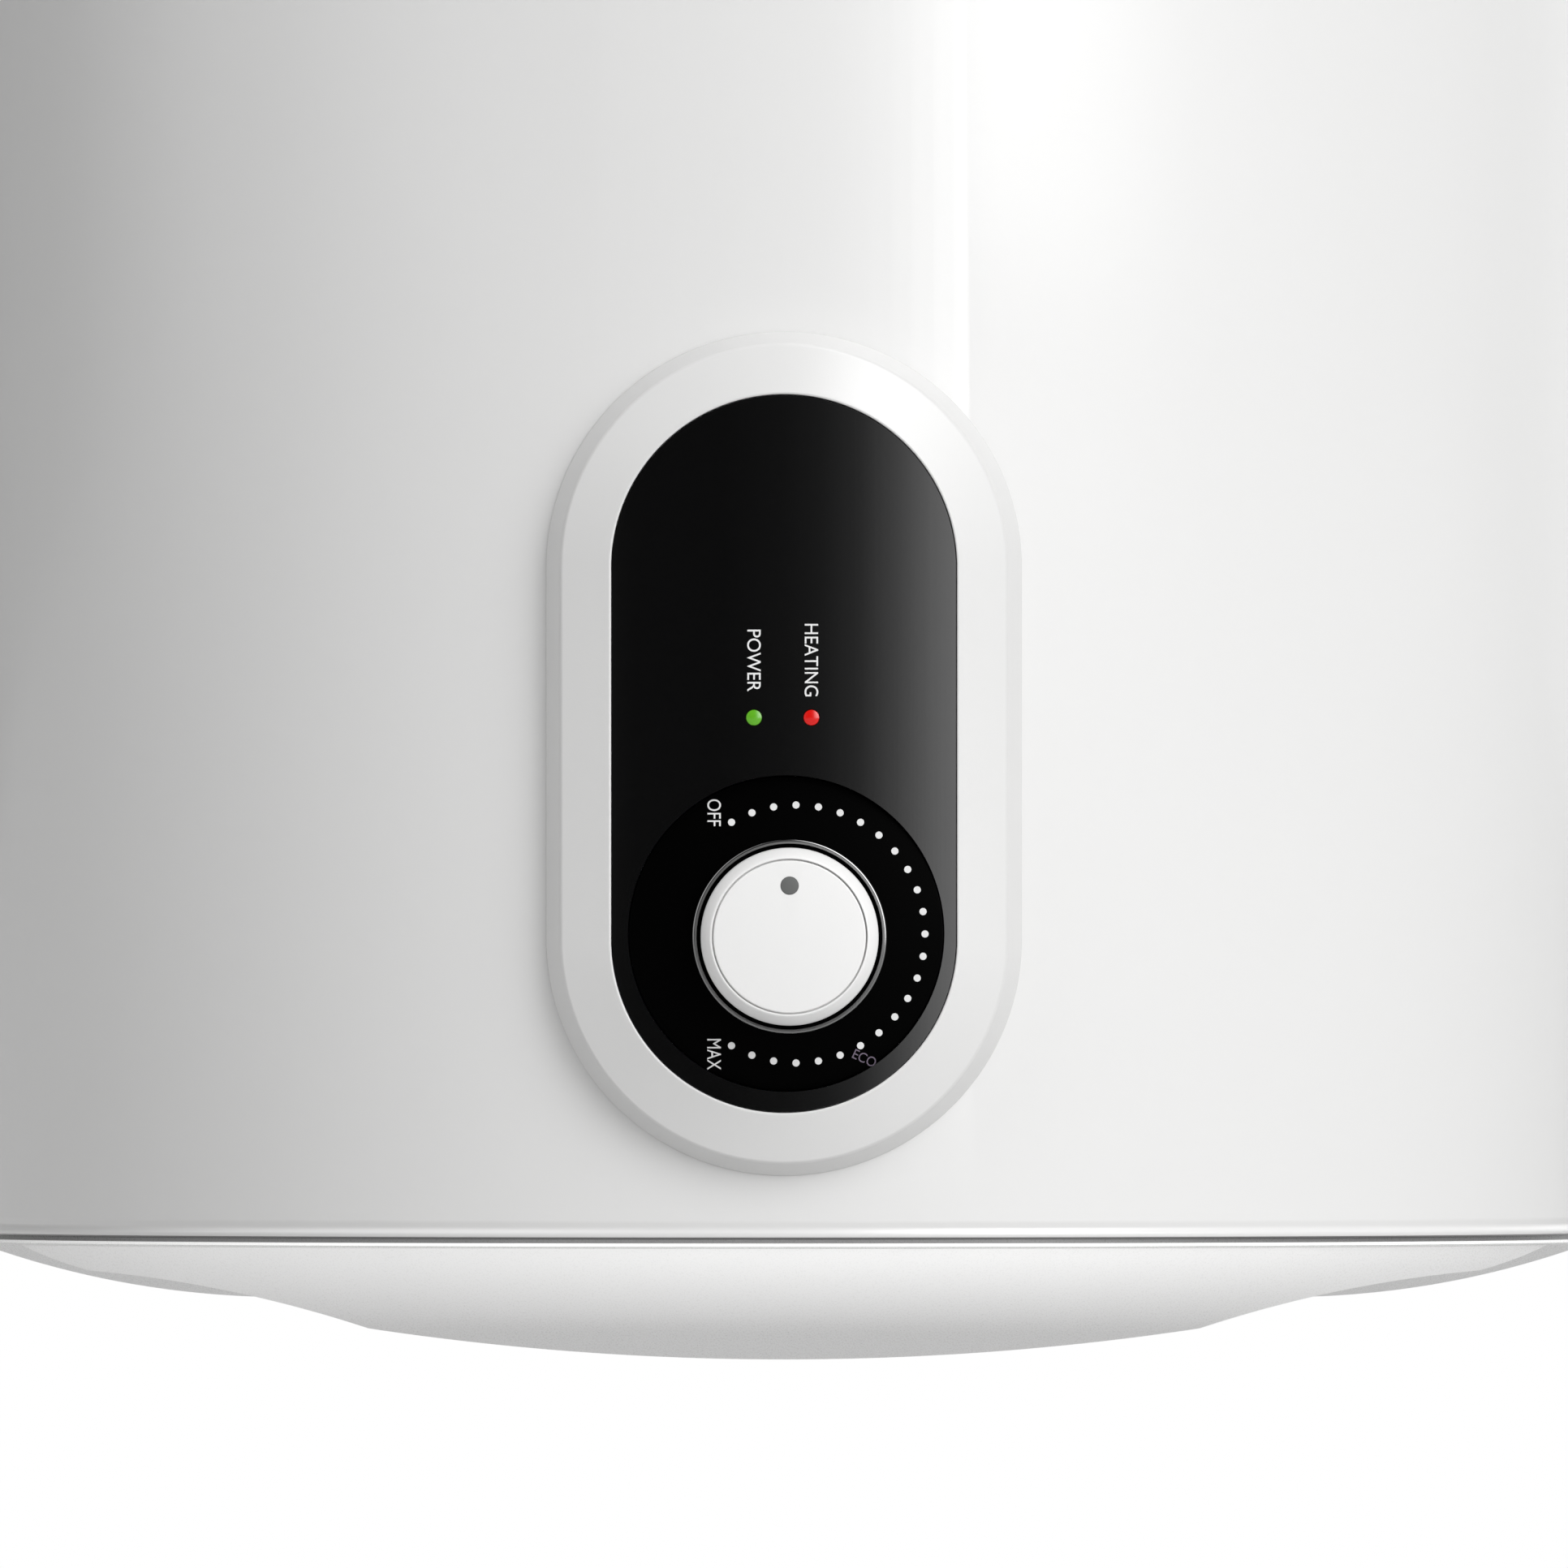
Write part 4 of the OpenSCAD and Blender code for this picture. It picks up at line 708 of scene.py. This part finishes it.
KNOB = on_front("trim_ring")
SCALE_R, SCALE_X, SCALE_UP = 30.1, 1.5, 0.6
SCALE_START, SCALE_STEP, DOT_COUNT = -30, 10, 25
DOT_R, DOT_T, DOT_TAPER = 0.85, 0.06, 0.03
SCALE = KNOB @ Matrix.Translation((SCALE_X * MM, SCALE_UP * MM, DIAL_FRONT * MM))
dots = bmesh.new()
for step in range(DOT_COUNT):
    turn = radians(SCALE_START + SCALE_STEP * step)
    spot = SCALE @ Matrix.Translation((SCALE_R * sin(turn) * MM, SCALE_R * cos(turn) * MM, DOT_T / 2 * MM))
    bmesh.ops.create_cone(dots, cap_ends=True, segments=24, radius1=DOT_R * MM, radius2=(DOT_R - DOT_TAPER) * MM,
                          depth=DOT_T * MM, matrix=spot)
finished("scale_dots", dots, "print_white", sharp=40)


INK_T = 0.05


def lettering(name, word, length, height, x, z, turn, finish, bent=True):
    """A printed word, turned by an angle, its middle at (x, z), on the curved fascia or on the flat dial."""
    curve = bpy.data.curves.new(name, "FONT")
    curve.body, curve.size, curve.extrude = word, 1, 0.01
    thing = placed(name + "_curve", curve)
    flat = bpy.data.meshes.new_from_object(thing.evaluated_get(bpy.context.evaluated_depsgraph_get()))
    bpy.data.objects.remove(thing)
    bm = bmesh.new()
    bm.from_mesh(flat)
    bpy.data.meshes.remove(flat)
    bmesh.ops.remove_doubles(bm, verts=bm.verts, dist=1e-5)
    xs, ys = [v.co.x for v in bm.verts], [v.co.y for v in bm.verts]
    wide, tall = max(xs) - min(xs), max(ys) - min(ys)
    for v in bm.verts:
        u, w = (v.co.x - min(xs)) / wide - 0.5, (v.co.y - min(ys)) / tall - 0.5
        across, rise = u * length, w * height
        px = x + across * cos(turn) - rise * sin(turn)
        pz = z + across * sin(turn) + rise * cos(turn)
        depth = sqrt(FASCIA_R ** 2 - px ** 2) if bent else DIAL_FRONT
        lift = INK_T if v.co.z > 0 else 0.0
        v.co = (px * MM, AXIS_Y - (depth + lift) * MM, SEAM_Z + pz * MM)
    bmesh.ops.recalc_face_normals(bm, faces=bm.faces)
    return finished(name, bm, finish, sharp=40)


DOWN = -pi / 2
LETTER_H = 3.2
DIAL_WORDS_X = -16.3
lettering("power_word", "POWER", 14.4, LETTER_H, -7.0, 135.1, DOWN, "print_white")
lettering("heating_word", "HEATING", 16.9, LETTER_H, 6.4, 135.2, DOWN, "print_white")
lettering("off_word", "OFF", 6.25, LETTER_H, DIAL_WORDS_X, 99.6, DOWN, "print_white", bent=False)
lettering("max_word", "MAX", 7.2, LETTER_H, DIAL_WORDS_X, 43.2, DOWN, "print_white", bent=False)
lettering("eco_word", "ECO", 5.6, 2.3, 18.8, 42.3, radians(-25), "print_mauve", bent=False)

# ---------- Lenses ----------

LENS_CROWN_R, LENS_T = 5.2, 3.5
LENS_EDGE = LENS_R - 0.1
for node, finish in (("power_lens", "green_lens"), ("heating_lens", "red_lens")):
    front = depth_of(node)[1] / MM
    crown = arc(0, front - LENS_CROWN_R, LENS_CROWN_R, 90, 70, 6)[::-1]
    lens = spun([(0, front - LENS_T), (LENS_EDGE, front - LENS_T)] + [(min(r, LENS_EDGE), z) for r, z in crown],
                48, on_front(node), closed=False)
    finished(node + "_finished", lens, finish, (node,), sharp=50)

# ---------- Knob ----------

KNOB_R = half_width("knob") / MM
KNOB_BACK, KNOB_FRONT = (s / MM for s in depth_of("knob"))
FACE_R = half_width("knob_face") / MM
RING_R = half_width("trim_ring") / MM
RING_FRONT = depth_of("trim_ring")[1] / MM
MARKER_R = half_width("knob_marker") / MM
marker_low, marker_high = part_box("knob_marker")
ring_low, ring_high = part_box("trim_ring")
MARKER_UP = ((marker_low.z + marker_high.z) - (ring_low.z + ring_high.z)) / 2
GROOVE = 0.35
WELL_R = FACE_R + GROOVE
EDGE = 2.6
SEAT = KNOB_FRONT - 1.3
HUB_BORE, HUB_R, HUB_BACK = 3.6, 6.2, KNOB_BACK + 0.5
WEB = KNOB_FRONT - 4
SKIRT_R = KNOB_R - 1.8
KNOB_STEPS, MARKER_STEPS = 160, 64

knob_outside = [(KNOB_R - 0.3, KNOB_BACK), (KNOB_R, KNOB_BACK + 0.3), (KNOB_R, KNOB_FRONT - EDGE - 0.7),
                (KNOB_R - 0.08, KNOB_FRONT - EDGE - 0.25), (KNOB_R - 0.3, KNOB_FRONT - EDGE + 0.25),
                (KNOB_R - 1.95, KNOB_FRONT - 0.28), (KNOB_R - 2.2, KNOB_FRONT - 0.06), (KNOB_R - 2.4, KNOB_FRONT),
                (WELL_R + 0.1, KNOB_FRONT), (WELL_R, KNOB_FRONT - 0.1), (WELL_R, SEAT)]
knob_inside = [(4.2, SEAT), (HUB_BORE, SEAT), (HUB_BORE, HUB_BACK), (HUB_R, HUB_BACK), (HUB_R, WEB),
               (SKIRT_R, WEB), (SKIRT_R, KNOB_BACK)]
shell = spun(knob_outside + knob_inside, KNOB_STEPS, KNOB)
finished("knob_shell", shell, "knob_white", ("knob",), "knob", sharp=30)

face = spun([(0, SEAT), (FACE_R, SEAT)] + arc(FACE_R - 0.35, KNOB_FRONT - 0.45, 0.35, 0, 90, 4)
            + [(0, KNOB_FRONT - 0.1)], KNOB_STEPS, KNOB, closed=False)
marker_place = KNOB @ Matrix.Translation((0, MARKER_UP, 0))
face = carved(face, column(MARKER_R + 0.05, KNOB_FRONT - 3, KNOB_FRONT + 1, marker_place, MARKER_STEPS))
finished("knob_face_disc", face, "knob_white", ("knob_face",), "knob", sharp=30)
marker = spun([(0, SEAT), (MARKER_R, SEAT)] + arc(MARKER_R - 0.15, KNOB_FRONT - 0.2, 0.15, 0, 90, 3)
              + [(0, KNOB_FRONT - 0.05)], MARKER_STEPS, marker_place, closed=False)
finished("knob_marker_dot", marker, "marker_grey", ("knob_marker",), "knob", sharp=30)

RING_W = 1.1
ring_profile = ([(RING_R, DIAL_FRONT)] + arc(RING_R - RING_W / 2, RING_FRONT - RING_W / 2, RING_W / 2, 0, 180, 10)
                + [(RING_R - RING_W, DIAL_FRONT)])
finished("trim_ring_bright", spun(ring_profile, KNOB_STEPS, KNOB), "trim_chrome", ("trim_ring",), sharp=50)

# ---------- Screws, pipes, brackets and gland ----------


WASHER_R, WASHER_T = 3.5, 0.7
SHANK_R, SHANK_L = 1.45, 5.5
HEAD_R, HEAD_T, HEAD_UP, HEAD_ROUND = 2.9, 1.3, 1.2, 0.18


def screw(place, seat):
    """A sheet-metal screw: hexagon head on a washer, its shank behind it."""
    washer = spun([(0, seat), (WASHER_R, seat), (WASHER_R, seat + 0.45), (WASHER_R - 0.4, seat + WASHER_T),
                   (0, seat + WASHER_T)], 32, place, closed=False)
    shank = spun([(0, seat - SHANK_L), (SHANK_R, seat - SHANK_L), (SHANK_R, seat + 0.1), (0, seat + 0.1)], 16, place,
                 closed=False)
    head = bmesh.new()
    bmesh.ops.create_cone(head, cap_ends=True, segments=6, radius1=HEAD_R * MM, radius2=HEAD_R * MM,
                          depth=HEAD_T * MM, matrix=place @ Matrix.Translation((0, 0, (seat + HEAD_UP) * MM)))
    bmesh.ops.bevel(head, geom=head.edges[:], offset=HEAD_ROUND * MM, segments=2, profile=0.5, affect="EDGES",
                    material=-1)
    return combined(washer, shank, head)


SCREW_INSET = 5
SCREW_BEARINGS = (5, 80, 175)


def cap_screw_places():
    """Places of the cap screws round the casing, each with its Z pointing out."""
    for z in (SCREW_INSET, H - SCREW_INSET):
        for angle in SCREW_BEARINGS:
            yield (heater_axis @ Matrix.Translation((0, 0, z * MM)) @ Matrix.Rotation(radians(angle), 4, "Z")
                   @ Matrix.Rotation(pi / 2, 4, "Y"))


finished("cap_screws_hexagon", combined(*[screw(place, R) for place in cap_screw_places()]), "zinc_steel",
         ("cap_screws",), sharp=30)

CREST, ROOT, PITCH, PIPE_WALL = 10.4775, 9.75, 1.814, 3.2
TURNS, LEAD_IN, THREAD_L = 8, 0.7, 16


def threaded_pipe(node):
    """A pipe with a rolled thread on its lower end."""
    low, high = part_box(node)
    x, y = (low.x + high.x) / 2, (low.y + high.y) / 2
    place = Matrix.Translation((x, y, SEAM_Z))
    z0, z1 = ((z - SEAM_Z) / MM for z in (low.z, high.z))
    outer = (high.x - low.x) / 2 / MM
    bore = outer - PIPE_WALL
    profile = [(bore + 0.5, z0), (ROOT + 0.1, z0)]
    for i in range(TURNS):
        z = z0 + LEAD_IN + i * PITCH
        profile += [(ROOT, z), (CREST - 0.15, z + 0.7), (CREST, z + 0.9), (CREST - 0.15, z + 1.1)]
    profile += [(ROOT, z0 + LEAD_IN + TURNS * PITCH), (outer, z0 + THREAD_L), (outer, z1), (bore, z1),
                (bore, z0 + 0.6)]
    finished(node + "_finished", spun(profile, 96, place), "pipe_steel", (node,), sharp=50)


threaded_pipe("cold_inlet_pipe")
threaded_pipe("hot_outlet_pipe")

# Nodes whose own shape is kept, with their finish and the width of their rounded edges
for node, finish, bevel in (
        ("upper_wall_bracket", "zinc_steel", 0.6), ("lower_wall_bracket", "zinc_steel", 0.6),
        ("cold_collar", "blue_collar", 0.35), ("hot_collar", "red_collar", 0.35), ("gland_body", "gland_grey", 0.4),
        ("gland_locknut", "gland_grey", 0.4), ("gland_dome_nut", "gland_grey", 0.4),
        ("gland_seal", "rubber_seal", 0.2), ("flange_plate", "zinc_steel", 0.4), ("flange_nuts", "zinc_steel", 0.4),
        ("electrics_bracket", "zinc_steel", 0.25), ("terminal_block", "ivory_plastic", 0.4),
        ("cutout_body", "brown_plastic", 0.5), ("thermostat_body", "brown_plastic", 0.6),
        ("thermostat_bracket", "zinc_steel", 0.2), ("lamp_board", "circuit_board", 0.15)):
    softened(node, finish, bevel)
softened("reset_button", "button_red", 0.3, "reset")

# ---------- Wires ----------

WIRE_COLOURS = ("wire_cover", "wire_blue", "wire_green")
sleeves = bmesh.new()
sleeves.from_mesh(frame["nodes"]["wiring"].data)
bmesh.ops.remove_doubles(sleeves, verts=sleeves.verts, dist=MERGE)
reached, wire_count = set(), 0
for first in sleeves.faces:
    if first in reached:
        continue
    reached.add(first)
    queue = [first]
    while queue:
        face = queue.pop()
        face.material_index = wire_count % len(WIRE_COLOURS)
        near = {other for edge in face.edges for other in edge.link_faces} - reached
        reached |= near
        queue.extend(near)
    wire_count += 1
wires = finished("wires_in_colour", sleeves, WIRE_COLOURS[0], ("wiring",), sharp=60)
for finish in WIRE_COLOURS[1:]:
    wires.data.materials.append(FINISHES[finish])
